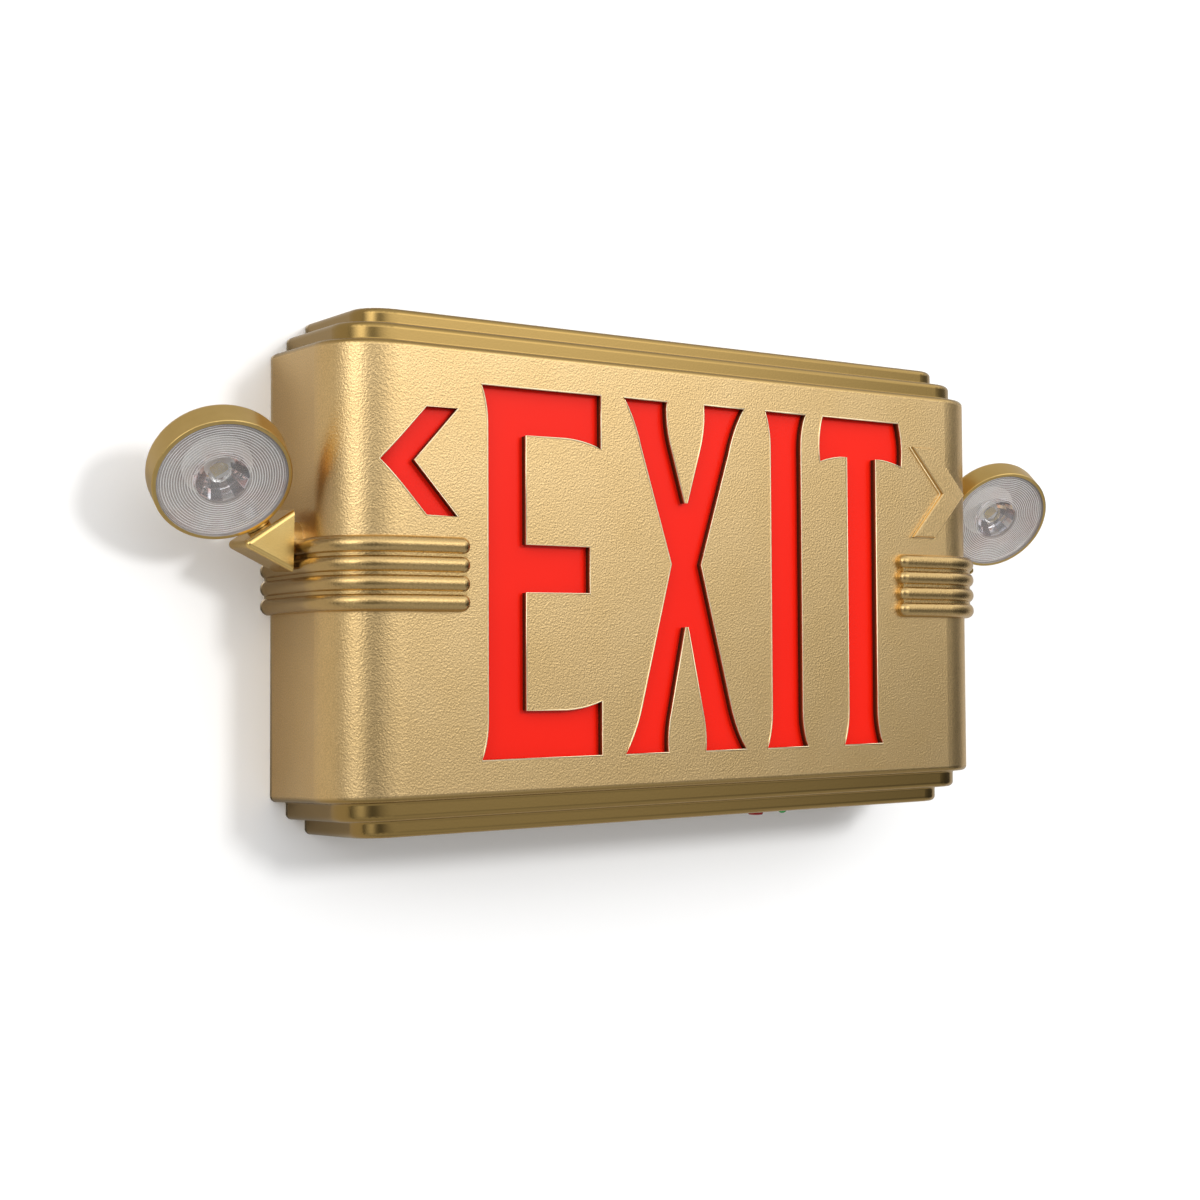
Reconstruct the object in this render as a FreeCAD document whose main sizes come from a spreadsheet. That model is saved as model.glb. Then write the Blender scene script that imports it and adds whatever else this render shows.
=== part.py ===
import FreeCAD, Part
import math
import os
import Sketcher
from FreeCAD import Placement, Rotation, Vector

# Wall-mounted emergency exit light: a cast cover with stepped ends, wrapped ribs and cut-out letters,
# a red panel lit from behind, a back plate that carries the power parts, and two lamp heads on
# wedge brackets. Millimetres. The wall is the plane y = 0, the sign faces -Y, +Z is up, and the
# origin is the middle of the back plate's wall face.

doc = FreeCAD.newDocument("ExitLight")
X_AXIS, Y_AXIS, Z_AXIS = Vector(1, 0, 0), Vector(0, 1, 0), Vector(0, 0, 1)

SIZES = {
    # cover: a rounded box with two smaller steps at the top and at the bottom; the heights are taken
    # at the wall, and the top and bottom faces slope by the draft that lets the casting leave its mould
    "cover_width": 342, "cover_depth": 78, "cover_height": 191.2, "corner_radius": 28, "wall": 3.5,
    "mould_draft": 3.4, "first_inset": 7, "first_radius": 20, "first_step_height": 206.6,
    "second_inset": 14, "second_side": 15.5, "second_radius": 15, "second_step_height": 220.4,
    "step_round": 2.6, "step_cove": 1.2,
    # ribs that wrap both front corners
    "rib_radius": 3.7, "rib_stand": 0.9, "rib_pitch": 7.55, "rib_count": 4, "rib_top": 9.9,
    "left_rib_start": 116.3, "right_rib_start": 111.2, "rib_pad_stand": 2.8, "rib_pad_setback": 1.8,
    # letters
    "letter_height": 152.4, "stroke": 17.8, "bar_stroke": 19.7, "flare": 2.9, "flare_length": 16,
    # chevrons
    "chevron_tip": 154, "chevron_notch": 139.8, "chevron_outer": 134.8, "chevron_inner": 120.6,
    "chevron_centre": 43.6, "chevron_half_height": 21.8, "insert_stand": 2.2, "insert_gap": 0.1,
    "insert_edge": 0.5,
    # panel and light tray
    "panel_thickness": 2, "panel_half_width": 158, "panel_height": 166, "panel_gap": 0.3,
    "tray_half_width": 155, "tray_height": 164, "tray_back": 46, "tray_wall": 1.2, "tray_shoulder": 62,
    "strip_length": 290, "strip_width": 12, "strip_thickness": 1.6, "strip_height": 46,
    "led_count": 12, "led_pitch": 24, "led_side": 5, "led_rise": 1.5,
    # back plate
    "plate_thickness": 1.5, "plate_fit": 0.5, "flange_depth": 14, "flange_width": 290,
    "box_hole_spacing": 88.9, "box_hole_radius": 2.6, "wire_hole_radius": 11,
    "keyhole_spacing": 240, "keyhole_height": 50, "keyhole_radius": 5, "keyhole_slot": 2.5,
    "keyhole_rise": 9, "post_x": 135, "post_z": 74, "post_radius": 3.2,
    # power parts between the plate and the tray
    "board_x": 62, "board_z": 44, "board_width": 100, "board_height": 56, "board_thickness": 1.6,
    "board_stand": 6, "board_post_radius": 2.5, "transformer_side": 34, "transformer_height": 28,
    "terminal_width": 24, "cell_radius": 7.25, "cell_length": 50, "cell_count": 4,
    "battery_x": -64, "battery_z": -44, "strap_thickness": 1, "strap_width": 14, "strap_foot": 9,
    # cover screws, test button and pilot light on the underside
    "cover_screw_x": 112, "cover_screw_y": -8, "cover_screw_radius": 1.6, "screw_head_radius": 3,
    "screw_seat_radius": 3.4, "screw_seat_depth": 0.2,
    "screw_head_height": 1.8, "screw_length": 9, "screw_slot": 0.8,
    "button_x": 58, "pilot_x": 74, "underside_y": -36, "button_radius": 3.6, "button_bore": 3.7,
    "button_travel": 1.5, "button_stand": 2.4, "button_collar": 5.2, "pilot_radius": 2.4,
    "pilot_bore": 2.5, "control_board_z": -89, "control_board_width": 42, "control_board_depth": 44,
    "switch_side": 11,
    # swivel between the cover's side and a bracket
    "swivel_y": -32, "swivel_z": 13.1, "swivel_boss_radius": 8, "swivel_boss_reach": 176.6,
    "swivel_bore": 5.05, "trunnion_radius": 5, "trunnion_length": 17, "passage_radius": 1.8,
    "washer_radius": 8, "washer_thickness": 0.8, "nut_radius": 8, "nut_thickness": 3.6,
    "bracket_reach": 177, "bracket_width": 24, "bracket_tip_out": 21.3, "bracket_tip_drop": 2.2,
    "bracket_half_base": 12.6, "bracket_round": 2, "left_tilt": 3, "right_tilt": 10,
    # lamp head, measured from the middle of its rim plane
    "head_rim_radius": 27.3, "head_waist_radius": 27.9, "head_depth": 14, "head_back_round": 4,
    "head_wall": 1.5, "lens_radius": 25.7, "lens_thickness": 1.8, "lens_recess": 0.8,
    "lens_ledge": 1.1, "lens_plain_radius": 11.2, "lens_ring_count": 8, "lens_ring_depth": 0.35,
    "pivot_offset": 30.4, "pivot_drop": 4.55, "pivot_tilt": 116.4, "pivot_boss_radius": 5,
    "pivot_gap": 0.2, "pivot_boss_length": 7, "pivot_radius": 3, "pivot_bore": 3.05,
    "pivot_depth": 5, "pivot_inner_length": 8, "pivot_ring_radius": 3.6, "pivot_ring_width": 1.2,
    "left_turn": -23.6, "right_turn": 183.6,
    "led_board_radius": 14, "led_board_thickness": 1.2, "chip_side": 4, "chip_height": 1,
    "reflector_mouth": 11, "reflector_throat": 5.6, "reflector_wall": 0.8, "reflector_height": 7.8,
    "collimator_radius": 4.6, "collimator_foot": 3, "collimator_height": 5.6, "collimator_cap": 2,
}

sheet = doc.addObject("Spreadsheet::Sheet", "Sizes")
for row, (alias, number) in enumerate(SIZES.items(), start=1):
    sheet.set("A%d" % row, alias)
    sheet.set("B%d" % row, str(number))
    sheet.setAlias("B%d" % row, alias)
doc.recompute()


def size(alias):
    """The number that the sheet holds under this name."""
    return float(sheet.get(alias))


def body_named(label, placement=None):
    """A new body for one piece, placed where the piece sits."""
    body = doc.addObject("PartDesign::Body", label)
    body.Label = label
    if placement is not None:
        body.Placement = placement
    return body


def sketch_on(body, name, plane, offset=None):
    """An empty sketch on one of the body's own origin planes."""
    sketch = body.newObject("Sketcher::SketchObject", name)
    for feature in body.Origin.OriginFeatures:
        if feature.Role == plane:
            sketch.AttachmentSupport = (feature, [""])
    sketch.MapMode = "FlatFace"
    if offset is not None:
        sketch.AttachmentOffset = offset
    return sketch


def lift(distance):
    """An offset along the sketch plane's normal."""
    return Placement(Vector(0, 0, distance), Rotation())


def outline(sketch, start, steps):
    """A closed outline: each step is an end point, or a middle point and an end point for an arc."""
    here = Vector(*start, 0)
    first = here
    for step in steps:
        end = Vector(*step[-2:], 0)
        if len(step) == 4:
            sketch.addGeometry(Part.Arc(here, Vector(step[0], step[1], 0), end))
        elif here.distanceToPoint(end) > 1e-6:
            sketch.addGeometry(Part.LineSegment(here, end))
        here = end
    if here.distanceToPoint(first) > 1e-6:
        sketch.addGeometry(Part.LineSegment(here, first))
    return sketch


def bind(sketch, constraint, expression):
    """Add a dimension to the sketch and tie it to the sheet."""
    index = sketch.addConstraint(constraint)
    sketch.setExpression("Constraints[%d]" % index, expression)


def circle(sketch, centre_x, centre_y, radius):
    """A circle whose place and radius are expressions on the sheet."""
    index = sketch.addGeometry(Part.Circle(Vector(1, 1, 0), Z_AXIS, 1))
    bind(sketch, Sketcher.Constraint("DistanceX", -1, 1, index, 3, 1), centre_x)
    bind(sketch, Sketcher.Constraint("DistanceY", -1, 1, index, 3, 1), centre_y)
    bind(sketch, Sketcher.Constraint("Radius", index, 1), radius)
    return sketch


def pad(body, name, sketch, length, both_ways=False, reverse=False):
    feature = body.newObject("PartDesign::Pad", name)
    feature.Profile = sketch
    feature.setExpression("Length", length)
    feature.Midplane = both_ways
    feature.Reversed = reverse
    return feature


def pocket(body, name, sketch, length, both_ways=False, reverse=False):
    feature = body.newObject("PartDesign::Pocket", name)
    feature.Profile = sketch
    feature.setExpression("Length", length)
    feature.Midplane = both_ways
    feature.Reversed = reverse
    return feature


def revolve(body, name, sketch, kind="PartDesign::Revolution"):
    """Turn a profile drawn on XZ_Plane about the body's Z axis."""
    feature = body.newObject(kind, name)
    feature.Profile = sketch
    feature.ReferenceAxis = (sketch, ["V_Axis"])
    feature.Angle = 360
    return feature


def edges_where(feature, test):
    """Names of the feature's edges that pass the test."""
    return ["Edge%d" % (i + 1) for i, edge in enumerate(feature.Shape.Edges) if test(edge)]


def round_edges(body, name, base, edges, radius):
    feature = body.newObject("PartDesign::Fillet", name)
    feature.Base = (base, edges)
    feature.setExpression("Radius", radius)
    return feature


def plan_sketch(body, name, side, front, corner):
    """A plan inside the cover's: drawn in by side and front, with round front corners."""
    sketch = sketch_on(body, name, "XY_Plane")
    half, depth = 160.0, 70.0
    radius = 20.0
    shoulder = depth - radius
    slant = radius * math.sqrt(0.5)
    sketch.addGeometry(Part.LineSegment(Vector(half, 0, 0), Vector(-half, 0, 0)))
    sketch.addGeometry(Part.LineSegment(Vector(-half, 0, 0), Vector(-half, -shoulder, 0)))
    sketch.addGeometry(Part.Arc(Vector(-half, -shoulder, 0),
                                Vector(-half + radius - slant, -shoulder - slant, 0),
                                Vector(-half + radius, -depth, 0)))
    sketch.addGeometry(Part.LineSegment(Vector(-half + radius, -depth, 0), Vector(half - radius, -depth, 0)))
    sketch.addGeometry(Part.Arc(Vector(half - radius, -depth, 0),
                                Vector(half - radius + slant, -shoulder - slant, 0),
                                Vector(half, -shoulder, 0)))
    sketch.addGeometry(Part.LineSegment(Vector(half, -shoulder, 0), Vector(half, 0, 0)))
    ends = [(0, 2, 1, 1), (5, 2, 0, 1)]
    for joint in ends:
        sketch.addConstraint(Sketcher.Constraint("Coincident", *joint))
    left_arc_start, left_arc_end = (2, 2), (2, 1)
    if sketch.getPoint(2, 1).distanceToPoint(Vector(-half, -shoulder, 0)) < 1e-6:
        left_arc_start, left_arc_end = (2, 1), (2, 2)
    right_arc_start, right_arc_end = (4, 2), (4, 1)
    if sketch.getPoint(4, 1).distanceToPoint(Vector(half - radius, -depth, 0)) < 1e-6:
        right_arc_start, right_arc_end = (4, 1), (4, 2)
    sketch.addConstraint(Sketcher.Constraint("Tangent", 1, 2, *left_arc_start))
    sketch.addConstraint(Sketcher.Constraint("Tangent", *left_arc_end, 3, 1))
    sketch.addConstraint(Sketcher.Constraint("Tangent", 3, 2, *right_arc_start))
    sketch.addConstraint(Sketcher.Constraint("Tangent", *right_arc_end, 5, 1))
    sketch.addConstraint(Sketcher.Constraint("Symmetric", 0, 1, 0, 2, -1, 1))
    sketch.addConstraint(Sketcher.Constraint("Horizontal", 0))
    sketch.addConstraint(Sketcher.Constraint("Vertical", 1))
    sketch.addConstraint(Sketcher.Constraint("Vertical", 5))
    sketch.addConstraint(Sketcher.Constraint("Horizontal", 3))
    bind(sketch, Sketcher.Constraint("DistanceX", 0, 2, 0, 1, 2 * half),
         "Sizes.cover_width - 2 * (%s)" % side)
    bind(sketch, Sketcher.Constraint("DistanceY", 3, 1, -1, 1, depth), "Sizes.cover_depth - (%s)" % front)
    bind(sketch, Sketcher.Constraint("Radius", 2, radius), corner)
    sketch.addConstraint(Sketcher.Constraint("Equal", 2, 4))
    return sketch


# ---------------------------------------------------------------- letters

half_letter = size("letter_height") / 2
stroke = size("stroke")
bar = size("bar_stroke")
flare = size("flare")
flare_length = size("flare_length")


def flare_middle(reach):
    """How far a flare that reaches this far has left the straight stem at half its length."""
    bend = (flare_length * flare_length + reach * reach) / (2 * reach)
    return bend - math.sqrt(bend * bend - flare_length * flare_length / 4)


def letter_e(left):
    """Outline of an E with flared ends, its back edge at left."""
    back, spine = left + flare, left + flare + stroke
    arm_end, middle_end = left + 57, left + 51.2
    arm_bend, arm_bow = left + 36, left + 48
    arm, tip = half_letter - bar, half_letter - bar - 3.5
    bow = arm - 0.9
    middle_low, middle_high = -8.2, 11.7
    waist, halfway = half_letter - flare_length, half_letter - flare_length / 2
    swell = back - flare_middle(flare)
    return (left, half_letter), [
        (arm_end, half_letter), (arm_end, tip), (arm_bow, bow, arm_bend, arm), (spine, arm),
        (spine, middle_high), (middle_end, middle_high), (middle_end, middle_low), (spine, middle_low),
        (spine, -arm), (arm_bend, -arm), (arm_bow, -bow, arm_end, -tip), (arm_end, -half_letter),
        (left, -half_letter), (swell, -halfway, back, -waist), (back, waist),
        (swell, halfway, left, half_letter)]


def letter_x(centre):
    """Outline of an X: straight strokes whose four ends flare on both sides."""
    outer_end, inner_end = 32, 9.7
    waist, waist_height = 8, 5.4
    crotch, crotch_high, crotch_low = 0.6, 32.3, -22
    outer_bend, outer_swell, bend_height = 23.3, 26.9, 55
    inner_bend, inner_swell, inner_height = 8.1, 9.5, 58.3
    halfway = 66.2
    upper = [(-crotch, crotch_high), (crotch, crotch_high), (inner_bend, inner_height),
             (inner_swell, halfway, inner_end, half_letter), (outer_end, half_letter),
             (outer_swell, halfway, outer_bend, bend_height)]
    lower = [(outer_bend, -bend_height), (outer_swell, -halfway, outer_end, -half_letter),
             (inner_end, -half_letter), (inner_swell, -halfway, inner_bend, -inner_height),
             (crotch, crotch_low), (-crotch, crotch_low), (-inner_bend, -inner_height),
             (-inner_swell, -halfway, -inner_end, -half_letter), (-outer_end, -half_letter),
             (-outer_swell, -halfway, -outer_bend, -bend_height)]
    closing = [(-outer_bend, bend_height), (-outer_swell, halfway, -outer_end, half_letter),
               (-inner_end, half_letter), (-inner_swell, halfway, -inner_bend, inner_height),
               (-crotch, crotch_high)]
    steps = upper[1:] + [(waist, waist_height)] + lower + [(-waist, waist_height)] + closing
    return (centre - crotch, crotch_high), [
        (centre + step[0], step[1]) if len(step) == 2
        else (centre + step[0], step[1], centre + step[2], step[3]) for step in steps]


def letter_i(centre):
    """Outline of an I, a stem that flares at both ends."""
    stem, end = stroke / 2, stroke / 2 + flare
    swell = stem + flare_middle(flare)
    waist, halfway = half_letter - flare_length, half_letter - flare_length / 2
    return (centre - end, half_letter), [
        (centre + end, half_letter), (centre + swell, halfway, centre + stem, waist),
        (centre + stem, -waist), (centre + swell, -halfway, centre + end, -half_letter),
        (centre - end, -half_letter), (centre - swell, -halfway, centre - stem, -waist),
        (centre - stem, waist), (centre - swell, halfway, centre - end, half_letter)]


def letter_t(centre):
    """Outline of a T: a bar with bulging ends on a stem that flares at its foot."""
    top, bulge, tip, droop = 23.2, 25.3, 24.9, 16.6
    stem, foot = stroke / 2, stroke / 2 + flare
    swell = stem + flare_middle(flare)
    bulge_height, tip_height, droop_height, under = 64.8, 54.9, 57.1, 57.9
    waist, halfway = half_letter - flare_length, half_letter - flare_length / 2
    return (centre - top, half_letter), [
        (centre + top, half_letter), (centre + bulge, bulge_height, centre + tip, tip_height),
        (centre + droop, droop_height, centre + stem, under), (centre + stem, -waist),
        (centre + swell, -halfway, centre + foot, -half_letter), (centre - foot, -half_letter),
        (centre - swell, -halfway, centre - stem, -waist), (centre - stem, under),
        (centre - droop, droop_height, centre - tip, tip_height),
        (centre - bulge, bulge_height, centre - top, half_letter)]


LETTERS = {"LetterE": letter_e(-110.4), "LetterX": letter_x(-10.1), "LetterI": letter_i(45.1),
           "LetterT": letter_t(89.8)}


def chevron(side, gap=0.0):
    """Outline of one chevron that points to the given side, drawn in by gap."""
    tip, notch = size("chevron_tip"), size("chevron_notch")
    outer, inner = size("chevron_outer"), size("chevron_inner")
    middle, half = size("chevron_centre"), size("chevron_half_height") - gap
    lean = gap * 1.3
    return (side * (inner + lean), middle + half), [
        (side * (outer - lean), middle + half), (side * (tip - lean), middle),
        (side * (outer - lean), middle - half), (side * (inner + lean), middle - half),
        (side * (notch + lean), middle)]


# ---------------------------------------------------------------- cover, one casting

TIERS = (("MainBox", "0", "0", "Sizes.corner_radius", "cover_height"),
         ("FirstStep", "Sizes.first_inset", "Sizes.first_inset", "Sizes.first_radius", "first_step_height"),
         ("SecondStep", "Sizes.second_side", "Sizes.second_inset", "Sizes.second_radius",
          "second_step_height"))
SLOPE = math.tan(math.radians(size("mould_draft")))


def stepped_block(body, margin):
    """The casting's outside, or with a margin the hollow inside it: a box and its two steps."""
    gap = size(margin) if margin else 0.0
    thinner = " - Sizes." + margin if margin else ""
    inwards = thinner.replace("-", "+")
    for name, side, front, corner, height in TIERS:
        plan = plan_sketch(body, name + "Plan", side + inwards, front + inwards, corner + thinner)
        block = pad(body, name, plan, "Sizes." + height + 2 * thinner, both_ways=True)
        top, far = size(height) / 2 - gap, size("cover_depth") + 1
        slopes = sketch_on(body, name + "Slopes", "YZ_Plane")
        for sign in (1, -1):
            outline(slopes, (0, sign * top), [(-far, sign * (top - far * SLOPE)), (-far, sign * (top + 1)),
                                              (0, sign * (top + 1))])
        block = pocket(body, name + "Draft", slopes, "Sizes.cover_width + 20", both_ways=True)
    return block


cover = body_named("cover")
second = stepped_block(cover, "")
doc.recompute()

STEPS = [(size("cover_height") / 2, 0, 0),
         (size("first_step_height") / 2, size("first_inset"), size("first_inset")),
         (size("second_step_height") / 2, size("second_side"), size("second_inset"))]


def on_plan_edge(edge, top, side, front):
    """True for an edge on this sloping face that follows the plan drawn in, the back left out."""
    half, depth = size("cover_width") / 2 - side, size("cover_depth") - front
    points = [vertex.Point for vertex in edge.Vertexes]
    if all(abs(point.y) < 1e-4 for point in points):
        return False
    if any(abs(abs(point.z) - (top + point.y * SLOPE)) > 1e-3 for point in points):
        return False
    return all(abs(abs(point.x) - half) < 1e-3 or abs(point.y + depth) < 1e-3 for point in points)


outer_edges = edges_where(second, lambda edge: any(on_plan_edge(edge, *step) for step in STEPS))
rounded = round_edges(cover, "StepRound", second, outer_edges, "Sizes.step_round")
doc.recompute()
FEET = [(STEPS[0][0],) + STEPS[1][1:], (STEPS[1][0],) + STEPS[2][1:]]
foot_edges = edges_where(rounded, lambda edge: any(on_plan_edge(edge, *foot) for foot in FEET))
round_edges(cover, "StepCove", rounded, foot_edges, "Sizes.step_cove")
doc.recompute()

# The round bosses that carry the lamp brackets, one bar through the box before it is hollowed
boss_sketch = circle(sketch_on(cover, "SwivelBossCircle", "YZ_Plane"), "Sizes.swivel_y", "Sizes.swivel_z",
                     "Sizes.swivel_boss_radius")
pad(cover, "SwivelBosses", boss_sketch, "2 * Sizes.swivel_boss_reach", both_ways=True)

# Rib pad: a band that follows the plan just outside the face, from one side of the front to the wall
rib_radius, rib_stand = size("rib_radius"), size("rib_stand")
corner_x = size("cover_width") / 2 - size("corner_radius")
corner_y = size("corner_radius") - size("cover_depth")
rib_middle = size("rib_top") - size("rib_pitch") * (size("rib_count") - 1) / 2
HALF_TURN = math.sqrt(0.5)


def band(side, start, inner, outer):
    """Plan outline of a band between two radii about the corner's centre, from start to the wall."""
    return (side * start, corner_y - inner), [
        (side * corner_x, corner_y - inner),
        (side * (corner_x + inner * HALF_TURN), corner_y - inner * HALF_TURN,
         side * (corner_x + inner), corner_y),
        (side * (corner_x + inner), 0), (side * (corner_x + outer), 0),
        (side * (corner_x + outer), corner_y),
        (side * (corner_x + outer * HALF_TURN), corner_y - outer * HALF_TURN,
         side * corner_x, corner_y - outer),
        (side * start, corner_y - outer)]


def rib_path(side, start):
    """The line that a rib's centre follows round the corner."""
    reach = size("corner_radius") + rib_stand
    return (side * start, corner_y - reach), [
        (side * corner_x, corner_y - reach),
        (side * (corner_x + reach * HALF_TURN), corner_y - reach * HALF_TURN,
         side * (corner_x + reach), corner_y),
        (side * (corner_x + reach), 0)]


def open_path(sketch, start, steps):
    """The same as outline, left open at its end."""
    here = Vector(*start, 0)
    for step in steps:
        end = Vector(*step[-2:], 0)
        if len(step) == 4:
            sketch.addGeometry(Part.Arc(here, Vector(step[0], step[1], 0), end))
        else:
            sketch.addGeometry(Part.LineSegment(here, end))
        here = end
    return sketch


ribs = []
for side, word in ((-1, "Left"), (1, "Right")):
    rib_tip = size(word.lower() + "_rib_start")
    rib_start = rib_tip + rib_radius
    band_sketch = sketch_on(cover, word + "RibPadPlan", "XY_Plane", lift(rib_middle))
    outline(band_sketch, *band(side, rib_tip + size("rib_pad_setback"), size("corner_radius") - 1,
                               size("corner_radius") + size("rib_pad_stand")))
    pad(cover, word + "RibPad", band_sketch, "Sizes.rib_pitch * (Sizes.rib_count - 1)", both_ways=True)
    path = open_path(sketch_on(cover, word + "RibPath", "XY_Plane", lift(size("rib_top"))),
                     *rib_path(side, rib_start))
    centre_y = corner_y - size("corner_radius") - rib_stand
    section = sketch_on(cover, word + "RibSection", "YZ_Plane", lift(side * rib_start))
    circle(section, "-Sizes.cover_depth - Sizes.rib_stand", "Sizes.rib_top", "Sizes.rib_radius")
    rib = cover.newObject("PartDesign::AdditivePipe", word + "Rib")
    rib.Profile = section
    rib.Spine = (path, [])
    rib.Mode = "Frenet"
    knob = cover.newObject("PartDesign::AdditiveSphere", word + "RibEnd")
    knob.setExpression("Radius", "Sizes.rib_radius")
    knob.Placement = Placement(Vector(side * rib_start, centre_y, size("rib_top")), Rotation())
    ribs += [rib, knob]
doc.recompute()

rows = cover.newObject("PartDesign::LinearPattern", "RibRows")
rows.Originals = ribs
for feature in cover.Origin.OriginFeatures:
    if feature.Role == "Z_Axis":
        rows.Direction = (feature, [""])
rows.Reversed = True
rows.setExpression("Length", "Sizes.rib_pitch * (Sizes.rib_count - 1)")
rows.setExpression("Occurrences", "Sizes.rib_count")
cover.Tip = rows
doc.recompute()

# Hollow the casting from the back with the same stepped shape, drawn in by the wall
core = body_named("cover_core")
stepped_block(core, "wall")
doc.recompute()
hollow = cover.newObject("PartDesign::Boolean", "Hollow")
hollow.Type = "Cut"
hollow.addObjects([core])
doc.recompute()

FRONT = lift(size("cover_depth") + 1)
for name, shape in LETTERS.items():
    pocket(cover, name, outline(sketch_on(cover, name + "Outline", "XZ_Plane", FRONT), *shape),
           "Sizes.wall + 5")
for side, word in ((-1, "Left"), (1, "Right")):
    shape = outline(sketch_on(cover, word + "ChevronOutline", "XZ_Plane", FRONT), *chevron(side))
    pocket(cover, word + "Chevron", shape, "Sizes.wall + 5")

bore = circle(sketch_on(cover, "SwivelBoreCircle", "YZ_Plane"), "Sizes.swivel_y", "Sizes.swivel_z",
              "Sizes.swivel_bore")
pocket(cover, "SwivelBores", bore, "2 * Sizes.swivel_boss_reach + 2", both_ways=True)

underside = sketch_on(cover, "UndersideHoles", "XY_Plane", lift(-size("second_step_height") / 2 - 1))
circle(underside, "Sizes.button_x", "Sizes.underside_y", "Sizes.button_bore")
circle(underside, "Sizes.pilot_x", "Sizes.underside_y", "Sizes.pilot_bore")
circle(underside, "Sizes.cover_screw_x", "Sizes.cover_screw_y", "Sizes.cover_screw_radius")
circle(underside, "-Sizes.cover_screw_x", "Sizes.cover_screw_y", "Sizes.cover_screw_radius")
pocket(cover, "UndersideBores", underside, "Sizes.wall + 6", reverse=True)


def underside_z(y):
    """Height of the sloping underside at this depth."""
    return -size("second_step_height") / 2 - y * SLOPE


seat_z = underside_z(size("cover_screw_y") - size("screw_seat_radius")) + size("screw_seat_depth")
seats = sketch_on(cover, "ScrewSeats", "XY_Plane", lift(seat_z))
circle(seats, "Sizes.cover_screw_x", "Sizes.cover_screw_y", "Sizes.screw_seat_radius")
circle(seats, "-Sizes.cover_screw_x", "Sizes.cover_screw_y", "Sizes.screw_seat_radius")
pocket(cover, "ScrewSeatCuts", seats, "3")
doc.recompute()


# ---------------------------------------------------------------- chevron insert, red panel, tray

insert = body_named("chevron_insert")
insert_reach = size("cover_depth") + size("insert_stand")
insert_front = sketch_on(insert, "InsertOutline", "XZ_Plane", lift(insert_reach))
outline(insert_front, *chevron(1, size("insert_gap")))
insert_pad = pad(insert, "InsertBlock", insert_front, "Sizes.insert_stand + Sizes.wall", reverse=True)
doc.recompute()
front_edges = edges_where(insert_pad, lambda edge: all(
    abs(vertex.Point.y + insert_reach) < 1e-4 for vertex in edge.Vertexes))
bevel = insert.newObject("PartDesign::Chamfer", "InsertBevel")
bevel.Base = (insert_pad, front_edges)
bevel.setExpression("Size", "Sizes.insert_edge")

panel = body_named("red_panel")
panel_sketch = sketch_on(panel, "PanelPlan", "XY_Plane")
panel_face = size("wall") - size("cover_depth")
panel_radius = size("corner_radius") - size("wall") - size("panel_gap")
panel_inner = panel_radius - size("panel_thickness")
panel_centre_y = panel_face + panel_radius
panel_run = size("panel_half_width") - corner_x


def arc_point(side, radius, run):
    """A point of the panel's rounded end, run past the corner's centre."""
    return side * (corner_x + run), panel_centre_y - math.sqrt(radius * radius - run * run)


half_run = panel_run / 2
outline(panel_sketch, (-corner_x, panel_face), [
    (corner_x, panel_face),
    arc_point(1, panel_radius, half_run) + arc_point(1, panel_radius, panel_run),
    arc_point(1, panel_inner, panel_run),
    arc_point(1, panel_inner, half_run) + (corner_x, panel_centre_y - panel_inner),
    (-corner_x, panel_centre_y - panel_inner),
    arc_point(-1, panel_inner, half_run) + arc_point(-1, panel_inner, panel_run),
    arc_point(-1, panel_radius, panel_run),
    arc_point(-1, panel_radius, half_run) + (-corner_x, panel_face)])
pad(panel, "PanelSheet", panel_sketch, "Sizes.panel_height", both_ways=True)

tray = body_named("light_tray")
tray_front = panel_face + size("panel_thickness")
tray_half, tray_back, shoulder = size("tray_half_width"), -size("tray_back"), -size("tray_shoulder")
tray_plan = outline(sketch_on(tray, "TrayPlan", "XY_Plane"), (-tray_half, tray_back), [
    (-tray_half, shoulder), (-corner_x, tray_front), (corner_x, tray_front), (tray_half, shoulder),
    (tray_half, tray_back)])
pad(tray, "TrayBlock", tray_plan, "Sizes.tray_height", both_ways=True)
tray_inner = tray_half - size("tray_wall")
tray_floor = tray_back - size("tray_wall")
tray_hollow = outline(sketch_on(tray, "TrayHollowPlan", "XY_Plane"), (-tray_inner, tray_floor), [
    (-tray_inner, tray_front - 1), (tray_inner, tray_front - 1), (tray_inner, tray_floor)])
pocket(tray, "TrayHollow", tray_hollow, "Sizes.tray_height - 2 * Sizes.tray_wall", both_ways=True)

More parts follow.
